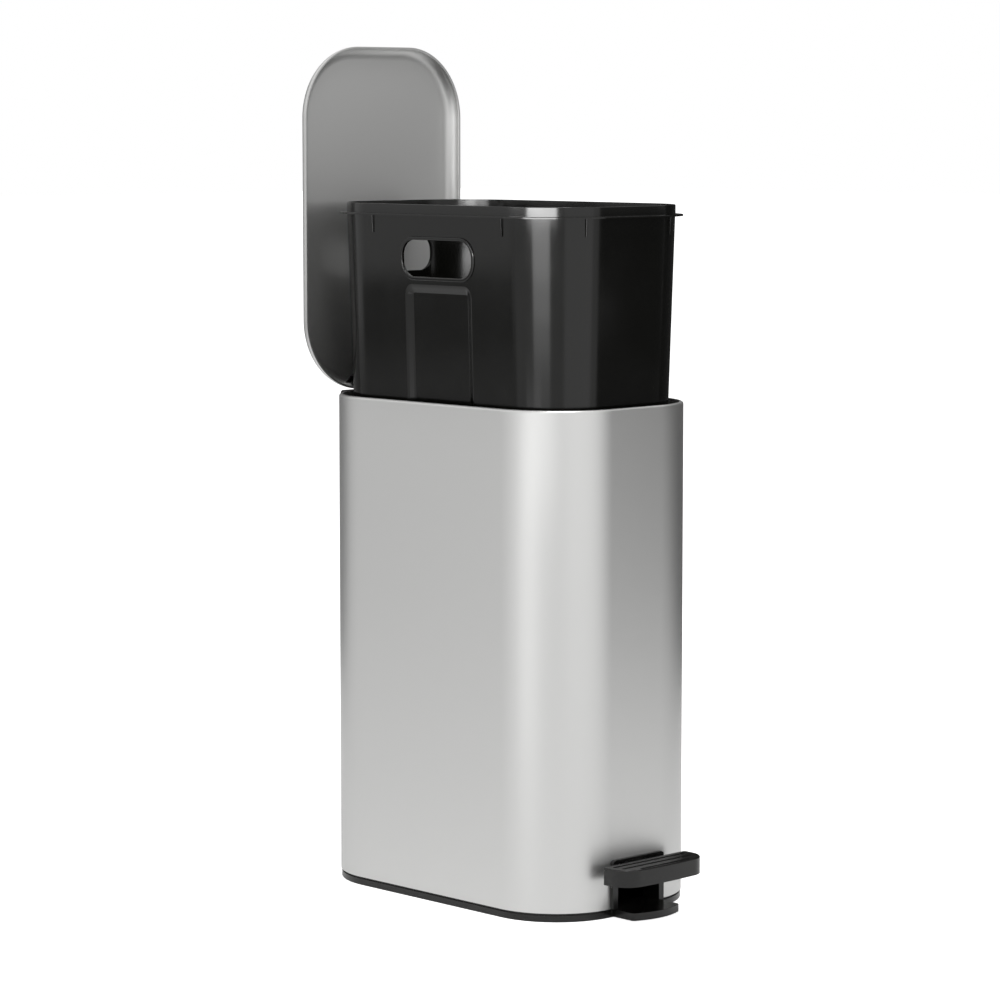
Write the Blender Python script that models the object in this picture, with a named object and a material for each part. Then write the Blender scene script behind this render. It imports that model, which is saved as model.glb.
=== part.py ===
"""Slim step can, shown with its lid open and its inner bucket lifted part of the way out.

A brushed steel sleeve stands on a moulded base. A pedal at the front tips a flat lever,
whose rear end raises a push rod up the back wall. The rod lifts a cross pin on the lid's
bracket, which turns the lid about a pin in the hinge block.

Metres, +Z up, the pedal at -Y. Every piece is modelled with the lid shut and the bucket
seated. Empties on the joints then carry the lid and the bucket to where they stand.
"""

from math import cos, hypot, pi, radians, sin

import bmesh
import bpy
from mathutils import Matrix, Vector

# Clearances
SEAT_GAP = 0.0003
TURNING_GAP = 0.0006
PIN_CLEARANCE = 0.0003
CUT_OVERRUN = 0.006
UNION_OVERLAP = 0.0012
WELD_DISTANCE = 0.00001

# Smoothness, as counts
CORNER_STEPS = 12
FILLET_STEPS = 3
ROUND_SEGMENTS = 24
SCREW_SEGMENTS = 14

# Sleeve
BODY_WIDTH = 0.2588
BODY_DEPTH = 0.4172
CORNER_RADIUS_SHARE = 0.34428
BODY_TOP = 0.5800
SLEEVE_WALL = 0.0008
RIM_ROLL_RADIUS = 0.0030
RIM_LIP = 0.0045
RIM_HEM = 0.0060
SLEEVE_FOOT_LIP = 0.0040

# Base tray
BASE_TOP = 0.0100
BASE_WALL = 0.0028
RING_INSET = 0.0008
RING_EDGE = 0.0010
GROOVE_HEIGHT = 0.0016
GROOVE_INSET = 0.0019
UPSTAND_HEIGHT = 0.0240
REAR_GATE_MARGIN = 0.0020
RIB_HEIGHT = 0.0120
RIB_THICKNESS = 0.0022
RIB_SPACING = 0.1000
RIB_START = 0.0340
FOOT_RADIUS = 0.0100
FOOT_THICKNESS = 0.0015
FOOT_EDGE = 0.0005
FOOT_FROM_SIDE = 0.0280
FOOT_FROM_END = 0.0560

# Step plate under the pedal, part of the base tray
STEP_HALF_WIDTH = 0.0380
STEP_REACH = 0.0345
STEP_BULGE = 0.0075
STEP_CORNER_RADIUS = 0.0050
STEP_UNDERCUT = 0.0012
STEP_ROOT = 0.0250

# Pedal surround in the sleeve's front opening
SURROUND_HALF_WIDTH = 0.0392
SURROUND_WALL = 0.0055
SURROUND_TOP_WALL = 0.0016
SURROUND_HEIGHT = 0.0540
SURROUND_DEPTH = 0.0210
SURROUND_CORNER_RADIUS = 0.0040
SURROUND_LIP = 0.0026
SURROUND_LIP_THICKNESS = 0.0045

# Pedal pad
PAD_TOP = 0.0645
PAD_HEIGHT = 0.0198
PAD_HALF_WIDTH = 0.0675
PAD_STANDOFF = 0.0129
PAD_DEPTH = 0.0385
PAD_BULGE = 0.0030
PAD_BACK_RADIUS = 0.0035
PAD_FRONT_RADIUS = 0.0250
PAD_EDGE_RADIUS = 0.0020
PAD_WALL = 0.0026
PAD_GROOVE_WIDTH = 0.0024
PAD_GROOVE_DEPTH = 0.0012
PAD_GROOVE_PITCH = 0.0068
PAD_GROOVE_LENGTH = 0.1040
PAD_GROOVE_START = 0.0080

# Pedal lever, its axle and its spring
LEVER_WIDTH = 0.0220
LEVER_THICKNESS = 0.0030
LEVER_BEND = 0.0180
LEVER_DROP_START = 0.0240
LEVER_DROP_LENGTH = 0.0360
LEVER_REAR_HEIGHT = 0.0310
LEVER_REAR_OVERHANG = 0.0070
LEVER_EAR_WALL = 0.0025
LEVER_EAR_RADIUS = 0.0065
AXLE_Y = 0.0260
AXLE_Z = 0.0230
AXLE_RADIUS = 0.0030
TOWER_WALL = 0.0050
TOWER_RADIUS = 0.0070
AXLE_END = 0.0035
AXLE_CAP_RADIUS = 0.0058
AXLE_CAP_THICKNESS = 0.0022
SPRING_Y = -0.0900
SPRING_RADIUS = 0.0060
SPRING_WIRE_RADIUS = 0.0007
SPRING_TURNS = 6
SPRING_STEPS_PER_TURN = 10
SPRING_PEG_RADIUS = 0.0042
SPRING_PEG_HEIGHT = 0.0080

# Pedal screws
PAD_SCREW_SPACING = 0.0120
SCREW_SHANK_RADIUS = 0.0015
SCREW_HEAD_RADIUS = 0.0030
SCREW_HEAD_HEIGHT = 0.0015

# Push rod and its guides
ROD_RADIUS = 0.0025
GUIDE_HALF_WIDTH = 0.0090
GUIDE_HEIGHT = 0.0140
GUIDE_FRONT_WALL = 0.0026
LOWER_GUIDE_Z = 0.1200
UPPER_GUIDE_DROP = 0.0900

# Hinge at the rear of the rim
HINGE_INSET = 0.0004
HINGE_DROP = 0.0039
HINGE_PIN_RADIUS = 0.0020
KNUCKLE_RADIUS = 0.0045
CRANK_REACH = 0.0085
CRANK_PIN_RADIUS = 0.0015
CRANK_TIP_WALL = 0.0012
CRANK_START = 0.0035
CRANK_WIDTH = 0.0070
INNER_KNUCKLE_SHARE = 0.11206
ARM_WIDTH_SHARE = 0.06337
BLOCK_WIDTH_SHARE = 0.28787
BLOCK_CORNER_RADIUS = 0.0040
BLOCK_INNER_THICKNESS = 0.0029
BLOCK_INNER_STANDOFF = 0.0019
BLOCK_OUTER_THICKNESS = 0.0044
BLOCK_INNER_DROP = 0.0200
BLOCK_OUTER_DROP = 0.0150
NOTCH_DEPTH = 0.0160
NOTCH_WIDTH_SHARE = 0.20556
CRANK_SLOT_DEPTH = 0.0070
HINGE_SCREW_SHARE = 0.19320
HINGE_SCREW_DROP = 0.0080
PIN_END_INSET = 0.0008

# Lid
LID_INSET = 0.0044
LID_HEIGHT = 0.0150
LID_EDGE_RADIUS = 0.0120
LID_WALL = 0.0008
LID_HEM_WIDTH = 0.0028
LID_HEM_HEIGHT = 0.0032
LID_OPEN_ANGLE = radians(90)

# Lid bracket
BRACKET_ARM_THICKNESS = 0.0017
BRACKET_ARM_RETURN = 0.0060
BRACKET_KNEE_RUN = 0.0028
BRACKET_FOOT_THICKNESS = 0.0024
BRACKET_ARM_DROP_SHARE = 0.6
BRACKET_FOOT_DEPTH = 0.0330
BRACKET_WIDTH_SHARE = 0.21406
BRACKET_CHAMFER = 0.0170
BRACKET_CHAMFER_RUN = 0.0119
BRACKET_SHOULDER = 0.0033
BRACKET_NUT_SHARE = 0.09660
BRACKET_NUT_INSET = 0.0110
STUD_RADIUS = 0.0020
NUT_RADIUS = 0.0038
NUT_HEIGHT = 0.0026

# Inner bucket
BUCKET_LIFT = 0.2125
BUCKET_FLOOR_Z = 0.0640
BUCKET_WALL = 0.0022
BUCKET_TOP_INSET = 0.0106
BUCKET_TAPER = 0.0316
BUCKET_RIM_INSET = 0.0102
BUCKET_RIM_HEIGHT = 0.0110
BUCKET_BOTTOM_RADIUS = 0.0100
FLANGE_THICKNESS = 0.0020
FLANGE_INSET = 0.0014
FLANGE_NOTCH_MARGIN = 0.0028
RIM_RELIEF_HEIGHT = 0.0032
RIM_RELIEF_RUN = 0.0020
CHANNEL_HALF_WIDTH = 0.0140
CHANNEL_DEPTH = 0.0056

# Finger holes and recessed panels of the bucket
HOLE_WIDTH = 0.1150
HOLE_HEIGHT = 0.0424
HOLE_DROP = 0.0488
BACK_HOLE_DROP = 0.0506
HOLE_RADIUS = 0.0185
DETAIL_SHIFT = -0.0030
BEAD_WIDTH = 0.0042
BEAD_HEIGHT = 0.0018
PANEL_HALF_WIDTH = 0.0560
PANEL_DROP = 0.0765
PANEL_TOP_SLOPE = 0.0130
PANEL_SIDE_SLOPE = 0.0090
PANEL_CORNER_RADIUS = 0.0130
PANEL_DEPTH = 0.0045
GUSSET_SPACING = 0.2150
GUSSET_HEIGHT = 0.0205
GUSSET_REACH = 0.0024
GUSSET_FOOT = 0.0010
GUSSET_THICKNESS = 0.0020
GUSSET_CORNER_ANGLE = radians(20)

# Places worked out from the sizes above
FRONT_Y = -BODY_DEPTH / 2
REAR_Y = BODY_DEPTH / 2
BODY_CORNER_RADIUS = BODY_WIDTH * CORNER_RADIUS_SHARE
UPPER_GUIDE_Z = BODY_TOP - UPPER_GUIDE_DROP
HINGE_Y = REAR_Y - HINGE_INSET
HINGE_Z = BODY_TOP - HINGE_DROP
INNER_KNUCKLE_END = BODY_WIDTH * INNER_KNUCKLE_SHARE
ARM_WIDTH = BODY_WIDTH * ARM_WIDTH_SHARE
BLOCK_HALF_WIDTH = BODY_WIDTH * BLOCK_WIDTH_SHARE
NOTCH_HALF_WIDTH = BODY_WIDTH * NOTCH_WIDTH_SHARE
HINGE_SCREW_X = BODY_WIDTH * HINGE_SCREW_SHARE
BRACKET_HALF_WIDTH = BODY_WIDTH * BRACKET_WIDTH_SHARE
BRACKET_NUT_X = BODY_WIDTH * BRACKET_NUT_SHARE
FLANGE_NOTCH_HALF_WIDTH = NOTCH_HALF_WIDTH + FLANGE_NOTCH_MARGIN
SLEEVE_BOTTOM = BASE_TOP + SEAT_GAP
FLOOR_TOP = BASE_WALL
UPSTAND_INSET = SLEEVE_FOOT_LIP + SEAT_GAP
FLANGE_BOTTOM = BODY_TOP + SEAT_GAP
FLANGE_TOP = FLANGE_BOTTOM + FLANGE_THICKNESS
BUCKET_TOP = FLANGE_TOP + BUCKET_RIM_HEIGHT
LID_RIM_Z = FLANGE_TOP + SEAT_GAP
LID_TOP = LID_RIM_Z + LID_HEIGHT
LID_UNDERSIDE = LID_TOP - LID_WALL
ROD_Y = HINGE_Y - CRANK_REACH
ROD_BOTTOM = LEVER_REAR_HEIGHT + LEVER_THICKNESS + SEAT_GAP
ROD_TOP = HINGE_Z - CRANK_REACH - CRANK_PIN_RADIUS - SEAT_GAP
PAD_BACK_Y = FRONT_Y - PAD_STANDOFF
LEVER_PAD_Z = PAD_TOP - PAD_WALL - SEAT_GAP - LEVER_THICKNESS
ARM_START = INNER_KNUCKLE_END + TURNING_GAP
ARM_END = ARM_START + ARM_WIDTH


def make_material(name, colour, roughness, metallic=0.0):
    """A plain Principled material for one kind of stuff."""
    material = bpy.data.materials.new(name)
    material.use_nodes = True
    shader = material.node_tree.nodes["Principled BSDF"]
    shader.inputs["Base Color"].default_value = (*colour, 1.0)
    shader.inputs["Roughness"].default_value = roughness
    shader.inputs["Metallic"].default_value = metallic
    material.diffuse_color = (*colour, 1.0)
    return material


def make_carrier(name, place):
    """An empty on a joint, which carries the pieces that move with it."""
    carrier = bpy.data.objects.new(name, None)
    bpy.context.collection.objects.link(carrier)
    carrier.location = place
    return carrier


def finish(name, bm, material=None, carrier=None, smooth=True):
    """Turns a bmesh into a named object that keeps its place under its carrier."""
    bmesh.ops.recalc_face_normals(bm, faces=bm.faces)
    mesh = bpy.data.meshes.new(name)
    bm.to_mesh(mesh)
    bm.free()
    piece = bpy.data.objects.new(name, mesh)
    bpy.context.collection.objects.link(piece)
    if material:
        mesh.materials.append(material)
    if smooth:
        mesh.shade_smooth()
        mesh.set_sharp_from_angle(angle=radians(35))
    if carrier:
        piece.parent = carrier
        piece.matrix_parent_inverse = Matrix.Translation(-Vector(carrier.location))
    return piece


def cutter(name, bm, carrier=None):
    """A guide solid for a Boolean, which isn't part of the can."""
    guide = finish(name, bm, carrier=carrier, smooth=False)
    guide.hide_render = True
    guide.display_type = "WIRE"
    return guide


def combine(piece, guide, operation):
    """Adds one live Boolean to a piece."""
    modifier = piece.modifiers.new(guide.name, "BOOLEAN")
    modifier.solver = "EXACT"
    modifier.operation = operation
    modifier.object = guide


def extrude_rings(bm, rings, closed=False):
    """Extrudes a face through a row of rings. A closed row meets its own start."""
    face = bm.faces.new([bm.verts.new(point) for point in rings[0]])
    start = face
    for ring in rings[1:]:
        grown = bmesh.ops.extrude_face_region(bm, geom=[face])["geom"]
        if face is not start:
            bmesh.ops.delete(bm, geom=[face], context="FACES_ONLY")
        face = next(item for item in grown if isinstance(item, bmesh.types.BMFace))
        for corner, point in zip(face.loops, ring):
            corner.vert.co = point
    if closed:
        bmesh.ops.delete(bm, geom=[start, face], context="FACES_ONLY")
        bmesh.ops.remove_doubles(bm, verts=bm.verts, dist=WELD_DISTANCE)


def arc(centre, radius, start, end, steps):
    """Points along an arc, as angles in degrees."""
    turns = [radians(start + (end - start) * step / steps) for step in range(steps + 1)]
    return [(centre[0] + radius * cos(turn), centre[1] + radius * sin(turn)) for turn in turns]


def rounded_rectangle(half_width, half_depth, radius, steps=CORNER_STEPS):
    """Corner points of a rounded rectangle about the origin, anticlockwise."""
    x, y = half_width - radius, half_depth - radius
    corners = ((x, -y, -90), (x, y, 0), (-x, y, 90), (-x, -y, 180))
    outline = []
    for centre_x, centre_y, start in corners:
        outline += arc((centre_x, centre_y), radius, start, start + 90, steps)
    return outline


def plan_ring(inset, z):
    """The sleeve's plan, drawn in by an inset, at a height."""
    outline = rounded_rectangle(
        BODY_WIDTH / 2 - inset, BODY_DEPTH / 2 - inset, BODY_CORNER_RADIUS - inset
    )
    return [(x, y, z) for x, y in outline]


def extrude_outline(bm, outline, axis, low, high):
    """Extrudes a flat outline along X, Y or Z. Its points are in the other two axes' order."""
    places = {
        "X": lambda a, b, along: (along, a, b),
        "Y": lambda a, b, along: (a, along, b),
        "Z": lambda a, b, along: (a, b, along),
    }
    place = places[axis]
    extrude_rings(bm, [[place(a, b, along) for a, b in outline] for along in (low, high)])


def box(bm, low, high):
    """A box between two corners."""
    outline = [(low[0], low[1]), (high[0], low[1]), (high[0], high[1]), (low[0], high[1])]
    extrude_outline(bm, outline, "Z", low[2], high[2])


def circle(centre, radius, segments=ROUND_SEGMENTS):
    """A circle's points about a centre."""
    return arc(centre, radius, 0, 360 * (segments - 1) / segments, segments - 1)


def rod(bm, axis, centre, radius, low, high, segments=ROUND_SEGMENTS):
    """A plain round bar along an axis."""
    extrude_outline(bm, circle(centre, radius, segments), axis, low, high)


def offset_path(path, thickness):
    """The outline of a strip of even thickness that has the path as its lower edge."""
    upper = []
    for index, point in enumerate(path):
        before = path[max(index - 1, 0)]
        after = path[min(index + 1, len(path) - 1)]
        length = hypot(after[0] - before[0], after[1] - before[1])
        normal = (-(after[1] - before[1]) / length, (after[0] - before[0]) / length)
        upper.append((point[0] + normal[0] * thickness, point[1] + normal[1] * thickness))
    return path + upper[::-1]


def build_sleeve(steel):
    """The steel skin: a rolled rim, a folded foot, and cuts for the hinge and the pedal."""
    rim_centre = (RIM_ROLL_RADIUS, BODY_TOP - RIM_ROLL_RADIUS)
    outer_roll = arc(rim_centre, RIM_ROLL_RADIUS, 180, 90, FILLET_STEPS)
    inner_roll = arc(rim_centre, RIM_ROLL_RADIUS - SLEEVE_WALL, 90, 180, FILLET_STEPS)
    profile = [(0, SLEEVE_BOTTOM), *outer_roll]
    profile += [(RIM_LIP, BODY_TOP), (RIM_LIP, BODY_TOP - RIM_HEM)]
    profile += [(RIM_LIP - SLEEVE_WALL, BODY_TOP - RIM_HEM)]
    profile += [(RIM_LIP - SLEEVE_WALL, BODY_TOP - SLEEVE_WALL), *inner_roll]
    profile += [(SLEEVE_WALL, SLEEVE_BOTTOM + SLEEVE_WALL)]
    profile += [(SLEEVE_FOOT_LIP, SLEEVE_BOTTOM + SLEEVE_WALL), (SLEEVE_FOOT_LIP, SLEEVE_BOTTOM)]
    profile.append(profile[0])
    bm = bmesh.new()
    extrude_rings(bm, [plan_ring(inset, z) for inset, z in profile], closed=True)
    sleeve = finish("outer_sleeve", bm, steel)

    bm = bmesh.new()
    half_width = NOTCH_HALF_WIDTH + SEAT_GAP
    box(
        bm,
        (-half_width, REAR_Y - RIM_LIP - CUT_OVERRUN, BODY_TOP - NOTCH_DEPTH),
        (half_width, REAR_Y + CUT_OVERRUN, BODY_TOP + CUT_OVERRUN),
    )
    outline = surround_arch(SEAT_GAP, SLEEVE_BOTTOM - CUT_OVERRUN)
    extrude_outline(
        bm, outline, "Y", FRONT_Y - CUT_OVERRUN, FRONT_Y + SLEEVE_FOOT_LIP + CUT_OVERRUN
    )
    for side in (-1, 1):
        rod(
            bm,
            "Y",
            (side * HINGE_SCREW_X, BODY_TOP - NOTCH_DEPTH - HINGE_SCREW_DROP),
            SCREW_SHANK_RADIUS + PIN_CLEARANCE,
            REAR_Y - CUT_OVERRUN,
            REAR_Y + CUT_OVERRUN,
            SCREW_SEGMENTS,
        )
    combine(sleeve, cutter("sleeve_cuts", bm), "DIFFERENCE")
    return sleeve


def surround_arch(grow, bottom, grow_top=None):
    """The outer arch of the pedal surround, grown by a margin, as X and Z points."""
    half_width = SURROUND_HALF_WIDTH + grow
    top = BASE_TOP + SEAT_GAP + SURROUND_HEIGHT + (grow if grow_top is None else grow_top)
    radius = SURROUND_CORNER_RADIUS
    outline = [(-half_width, bottom), (half_width, bottom)]
    outline += arc((half_width - radius, top - radius), radius, 0, 90, FILLET_STEPS)
    outline += arc((radius - half_width, top - radius), radius, 90, 180, FILLET_STEPS)
    return outline


def step_outline(half_width, root_y, front_y, bulge, corner_radius, back_radius=0):
    """A plate with a straight back and a bowed front, as X and Y points."""
    flank = half_width - corner_radius
    corner = arc((-flank, front_y + corner_radius), corner_radius, 180, 250, FILLET_STEPS)
    bow = []
    bow_steps = 8
    start = corner[-1][0]
    for step in range(1, bow_steps):
        share = step / bow_steps
        x = start + (-2 * start) * share
        bow.append((x, corner[-1][1] - bulge * 4 * share * (1 - share)))
    mirrored = [(-x, y) for x, y in corner[::-1]]
    back = [(half_width, root_y), (-half_width, root_y)]
    if back_radius:
        side = half_width - back_radius
        back = arc((side, root_y - back_radius), back_radius, 0, 90, FILLET_STEPS)
        back += arc((-side, root_y - back_radius), back_radius, 90, 180, FILLET_STEPS)
    return [*back, *corner, *bow, *mirrored]


def build_base(plastic):
    """The moulded tray: ring, floor, upstand, step plate, axle towers and spring peg."""
    ring_top = BASE_TOP - GROOVE_HEIGHT
    upstand_top = BASE_TOP + UPSTAND_HEIGHT
    inner = UPSTAND_INSET + BASE_WALL
    profile = [
        (RING_INSET + RING_EDGE, 0),
        (RING_INSET, RING_EDGE),
        (RING_INSET, ring_top),
        (GROOVE_INSET, ring_top),
        (GROOVE_INSET, BASE_TOP),
        (UPSTAND_INSET, BASE_TOP),
        (UPSTAND_INSET, upstand_top),
        (inner, upstand_top),
        (inner, FLOOR_TOP),
    ]
    bm = bmesh.new()
    extrude_rings(bm, [plan_ring(inset, z) for inset, z in profile])
    base = finish("base_tray", bm, plastic)

    bm = bmesh.new()
    outline = step_outline(
        STEP_HALF_WIDTH, FRONT_Y + STEP_ROOT, FRONT_Y - STEP_REACH, STEP_BULGE, STEP_CORNER_RADIUS
    )
    extrude_outline(bm, outline, "Z", STEP_UNDERCUT, BASE_TOP)
    combine(base, cutter("base_step", bm), "UNION")

    bm = bmesh.new()
    gate = SURROUND_HALF_WIDTH + SEAT_GAP
    box(
        bm,
        (-gate, FRONT_Y - CUT_OVERRUN, BASE_TOP),
        (gate, FRONT_Y + STEP_ROOT - UNION_OVERLAP, upstand_top + CUT_OVERRUN),
    )
    rear_gate = LEVER_WIDTH / 2 + REAR_GATE_MARGIN
    box(
        bm,
        (-rear_gate, REAR_Y - inner - CUT_OVERRUN, LEVER_REAR_HEIGHT - REAR_GATE_MARGIN),
        (rear_gate, REAR_Y + CUT_OVERRUN, upstand_top + CUT_OVERRUN),
    )
    combine(base, cutter("base_gate", bm), "DIFFERENCE")

    bm = bmesh.new()
    root = FLOOR_TOP - UNION_OVERLAP
    inner_tower = LEVER_WIDTH / 2 + TURNING_GAP
    for side in (-1, 1):
        low, high = sorted((side * inner_tower, side * (inner_tower + TOWER_WALL)))
        outline = [(AXLE_Y - TOWER_RADIUS, root), (AXLE_Y + TOWER_RADIUS, root)]
        outline += arc((AXLE_Y, AXLE_Z), TOWER_RADIUS, 0, 180, FILLET_STEPS * 3)
        extrude_outline(bm, outline, "X", low, high)
    rod(bm, "Z", (0, SPRING_Y), SPRING_PEG_RADIUS, root, FLOOR_TOP + SPRING_PEG_HEIGHT)
    rest_half_width = LEVER_WIDTH / 2
    box(
        bm,
        (-rest_half_width, ROD_Y - LEVER_REAR_OVERHANG * 3, root),
        (rest_half_width, ROD_Y - LEVER_REAR_OVERHANG * 2, LEVER_REAR_HEIGHT - SEAT_GAP),
    )
    half_inner = BODY_WIDTH / 2 - inner
    for side in (-1, 1):
        for y in (-RIB_SPACING, RIB_SPACING):
            low, high = sorted((side * RIB_START, side * (half_inner + UNION_OVERLAP)))
            box(
                bm,
                (low, y - RIB_THICKNESS / 2, root),
                (high, y + RIB_THICKNESS / 2, FLOOR_TOP + RIB_HEIGHT),
            )
    combine(base, cutter("base_bosses", bm), "UNION")

    bm = bmesh.new()
    tower_end = inner_tower + TOWER_WALL + CUT_OVERRUN
    rod(bm, "X", (AXLE_Y, AXLE_Z), AXLE_RADIUS + PIN_CLEARANCE, -tower_end, tower_end)
    for x, y in foot_places():
        rod(
            bm,
            "Z",
            (x, y),
            FOOT_RADIUS + SEAT_GAP,
            -CUT_OVERRUN,
            FOOT_THICKNESS + SEAT_GAP,
        )
    combine(base, cutter("base_holes", bm), "DIFFERENCE")
    return base


def foot_places():
    """The four places of the feet, as X and Y."""
    x = BODY_WIDTH / 2 - FOOT_FROM_SIDE
    y = BODY_DEPTH / 2 - FOOT_FROM_END
    return [(-x, -y), (x, -y), (-x, y), (x, y)]


def build_feet(rubber):
    """Four rubber pads in the base's sockets."""
    for number, (x, y) in enumerate(foot_places(), start=1):
        bm = bmesh.new()
        rings = []
        for radius, z in (
            (FOOT_RADIUS - FOOT_EDGE, 0),
            (FOOT_RADIUS, FOOT_EDGE),
            (FOOT_RADIUS, FOOT_THICKNESS),
        ):
            rings.append([(a, b, z) for a, b in circle((x, y), radius)])
        extrude_rings(bm, rings)
        finish(f"rubber_foot_{number}", bm, rubber)


def build_surround(plastic):
    """The black arch that lines the pedal's opening."""
    bottom = BASE_TOP + SEAT_GAP
    bm = bmesh.new()
    extrude_outline(bm, surround_arch(0, bottom), "Y", FRONT_Y - SEAT_GAP * 2, FRONT_Y + SURROUND_DEPTH)
    surround = finish("pedal_surround", bm, plastic)

    bm = bmesh.new()
    outline = surround_arch(SURROUND_LIP, bottom)
    front = FRONT_Y - SEAT_GAP - SURROUND_LIP_THICKNESS
    extrude_outline(bm, outline, "Y", front, FRONT_Y - SEAT_GAP)
    combine(surround, cutter("surround_lip", bm), "UNION")

    bm = bmesh.new()
    outline = surround_arch(-SURROUND_WALL, bottom - CUT_OVERRUN, -SURROUND_TOP_WALL)
    extrude_outline(bm, outline, "Y", front - CUT_OVERRUN, FRONT_Y + SURROUND_DEPTH + CUT_OVERRUN)
    combine(surround, cutter("surround_mouth", bm), "DIFFERENCE")
    return surround


def pad_ring(inset, z):
    """The pad's outline, drawn in by an inset, at a height."""
    outline = step_outline(
        PAD_HALF_WIDTH - inset,
        PAD_BACK_Y - inset,
        PAD_BACK_Y - PAD_DEPTH + inset,
        PAD_BULGE,
        PAD_FRONT_RADIUS - inset,
        PAD_BACK_RADIUS - inset,
    )
    return [(x, y, z) for x, y in outline]


def build_pad(plastic, carrier):
    """The moulded tread: a shell with a bowed front and three grooves along its top."""
    bottom = PAD_TOP - PAD_HEIGHT
    edge = arc((PAD_EDGE_RADIUS, PAD_TOP - PAD_EDGE_RADIUS), PAD_EDGE_RADIUS, 180, 90, FILLET_STEPS)
    bm = bmesh.new()
    extrude_rings(bm, [pad_ring(0, bottom)] + [pad_ring(inset, z) for inset, z in edge])
    pad = finish("pedal_pad", bm, plastic, carrier)

    bm = bmesh.new()
    extrude_rings(
        bm, [pad_ring(PAD_WALL, bottom - CUT_OVERRUN), pad_ring(PAD_WALL, PAD_TOP - PAD_WALL)]
    )
    combine(pad, cutter("pad_hollow", bm, carrier), "DIFFERENCE")

    bm = bmesh.new()
    reach = (PAD_GROOVE_LENGTH - PAD_GROOVE_WIDTH) / 2
    for line in range(3):
        y = PAD_BACK_Y - PAD_GROOVE_START - PAD_GROOVE_PITCH * line
        outline = arc((reach, y), PAD_GROOVE_WIDTH / 2, -90, 90, FILLET_STEPS)
        outline += arc((-reach, y), PAD_GROOVE_WIDTH / 2, 90, 270, FILLET_STEPS)
        extrude_outline(bm, outline, "Z", PAD_TOP - PAD_GROOVE_DEPTH, PAD_TOP + CUT_OVERRUN)
    mouth = LEVER_WIDTH / 2 + TURNING_GAP
    box(
        bm,
        (-mouth, PAD_BACK_Y - PAD_WALL - UNION_OVERLAP, bottom - CUT_OVERRUN),
        (mouth, PAD_BACK_Y + CUT_OVERRUN, LEVER_PAD_Z + LEVER_THICKNESS + SEAT_GAP),
    )
    combine(pad, cutter("pad_cuts", bm, carrier), "DIFFERENCE")

    bm = bmesh.new()
    for x in pad_screw_places():
        rod(
            bm,
            "Z",
            (x, pad_screw_y()),
            SCREW_SHANK_RADIUS + PIN_CLEARANCE,
            PAD_TOP - PAD_WALL - UNION_OVERLAP,
            PAD_TOP - PAD_WALL + SCREW_SHANK_RADIUS / 2,
            SCREW_SEGMENTS,
        )
    combine(pad, cutter("pad_screw_seats", bm, carrier), "DIFFERENCE")
    return pad


def pad_screw_places():
    """X of the two screws that hold the pad."""
    return (-PAD_SCREW_SPACING / 2, PAD_SCREW_SPACING / 2)


def pad_screw_y():
    """The screws stand midway under the pad."""
    return PAD_BACK_Y - PAD_DEPTH / 2


def build_lever(steel, carrier):
    """A flat steel bar, cranked down behind the pedal, with two ears on the axle."""
    front = PAD_BACK_Y - PAD_DEPTH + PAD_WALL + LEVER_THICKNESS
    drop_y = FRONT_Y + LEVER_DROP_START
    path = [
        (front, LEVER_PAD_Z),
        (drop_y, LEVER_PAD_Z),
        (drop_y + LEVER_DROP_LENGTH, LEVER_REAR_HEIGHT),
        (ROD_Y + LEVER_REAR_OVERHANG, LEVER_REAR_HEIGHT),
    ]
    bm = bmesh.new()
    half_width = LEVER_WIDTH / 2
    extrude_outline(bm, offset_path(path, LEVER_THICKNESS), "X", -half_width, half_width)
    lever = finish("pedal_lever", bm, steel, carrier)

    bm = bmesh.new()
    for side in (-1, 1):
        low, high = sorted((side * half_width, side * (half_width - LEVER_EAR_WALL)))
        top = LEVER_REAR_HEIGHT + UNION_OVERLAP
        outline = [(AXLE_Y + LEVER_EAR_RADIUS, top), (AXLE_Y - LEVER_EAR_RADIUS, top)]
        outline += arc((AXLE_Y, AXLE_Z), LEVER_EAR_RADIUS, 180, 360, FILLET_STEPS * 3)
        extrude_outline(bm, outline, "X", low, high)
    combine(lever, cutter("lever_ears", bm, carrier), "UNION")

    bm = bmesh.new()
    end = half_width + CUT_OVERRUN
    rod(bm, "X", (AXLE_Y, AXLE_Z), AXLE_RADIUS + PIN_CLEARANCE, -end, end)
    for x in pad_screw_places():
        rod(
            bm,
            "Z",
            (x, pad_screw_y()),
            SCREW_SHANK_RADIUS + PIN_CLEARANCE,
            LEVER_PAD_Z - CUT_OVERRUN,
            LEVER_PAD_Z + LEVER_THICKNESS + CUT_OVERRUN,
            SCREW_SEGMENTS,
        )
    combine(lever, cutter("lever_holes", bm, carrier), "DIFFERENCE")

    for number, x in enumerate(pad_screw_places(), start=1):
        bm = bmesh.new()
        seat = LEVER_PAD_Z - SEAT_GAP
        rings = []
        for radius, z in (
            (SCREW_HEAD_RADIUS * 0.7, seat - SCREW_HEAD_HEIGHT),
            (SCREW_HEAD_RADIUS, seat - SCREW_HEAD_HEIGHT * 0.6),
            (SCREW_HEAD_RADIUS, seat),
            (SCREW_SHANK_RADIUS, seat),
            (SCREW_SHANK_RADIUS, PAD_TOP - PAD_WALL),
        ):
            rings.append([(a, b, z) for a, b in circle((x, pad_screw_y()), radius, SCREW_SEGMENTS)])
        extrude_rings(bm, rings)
        finish(f"pedal_screw_{number}", bm, steel, carrier)
    return lever


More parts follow.
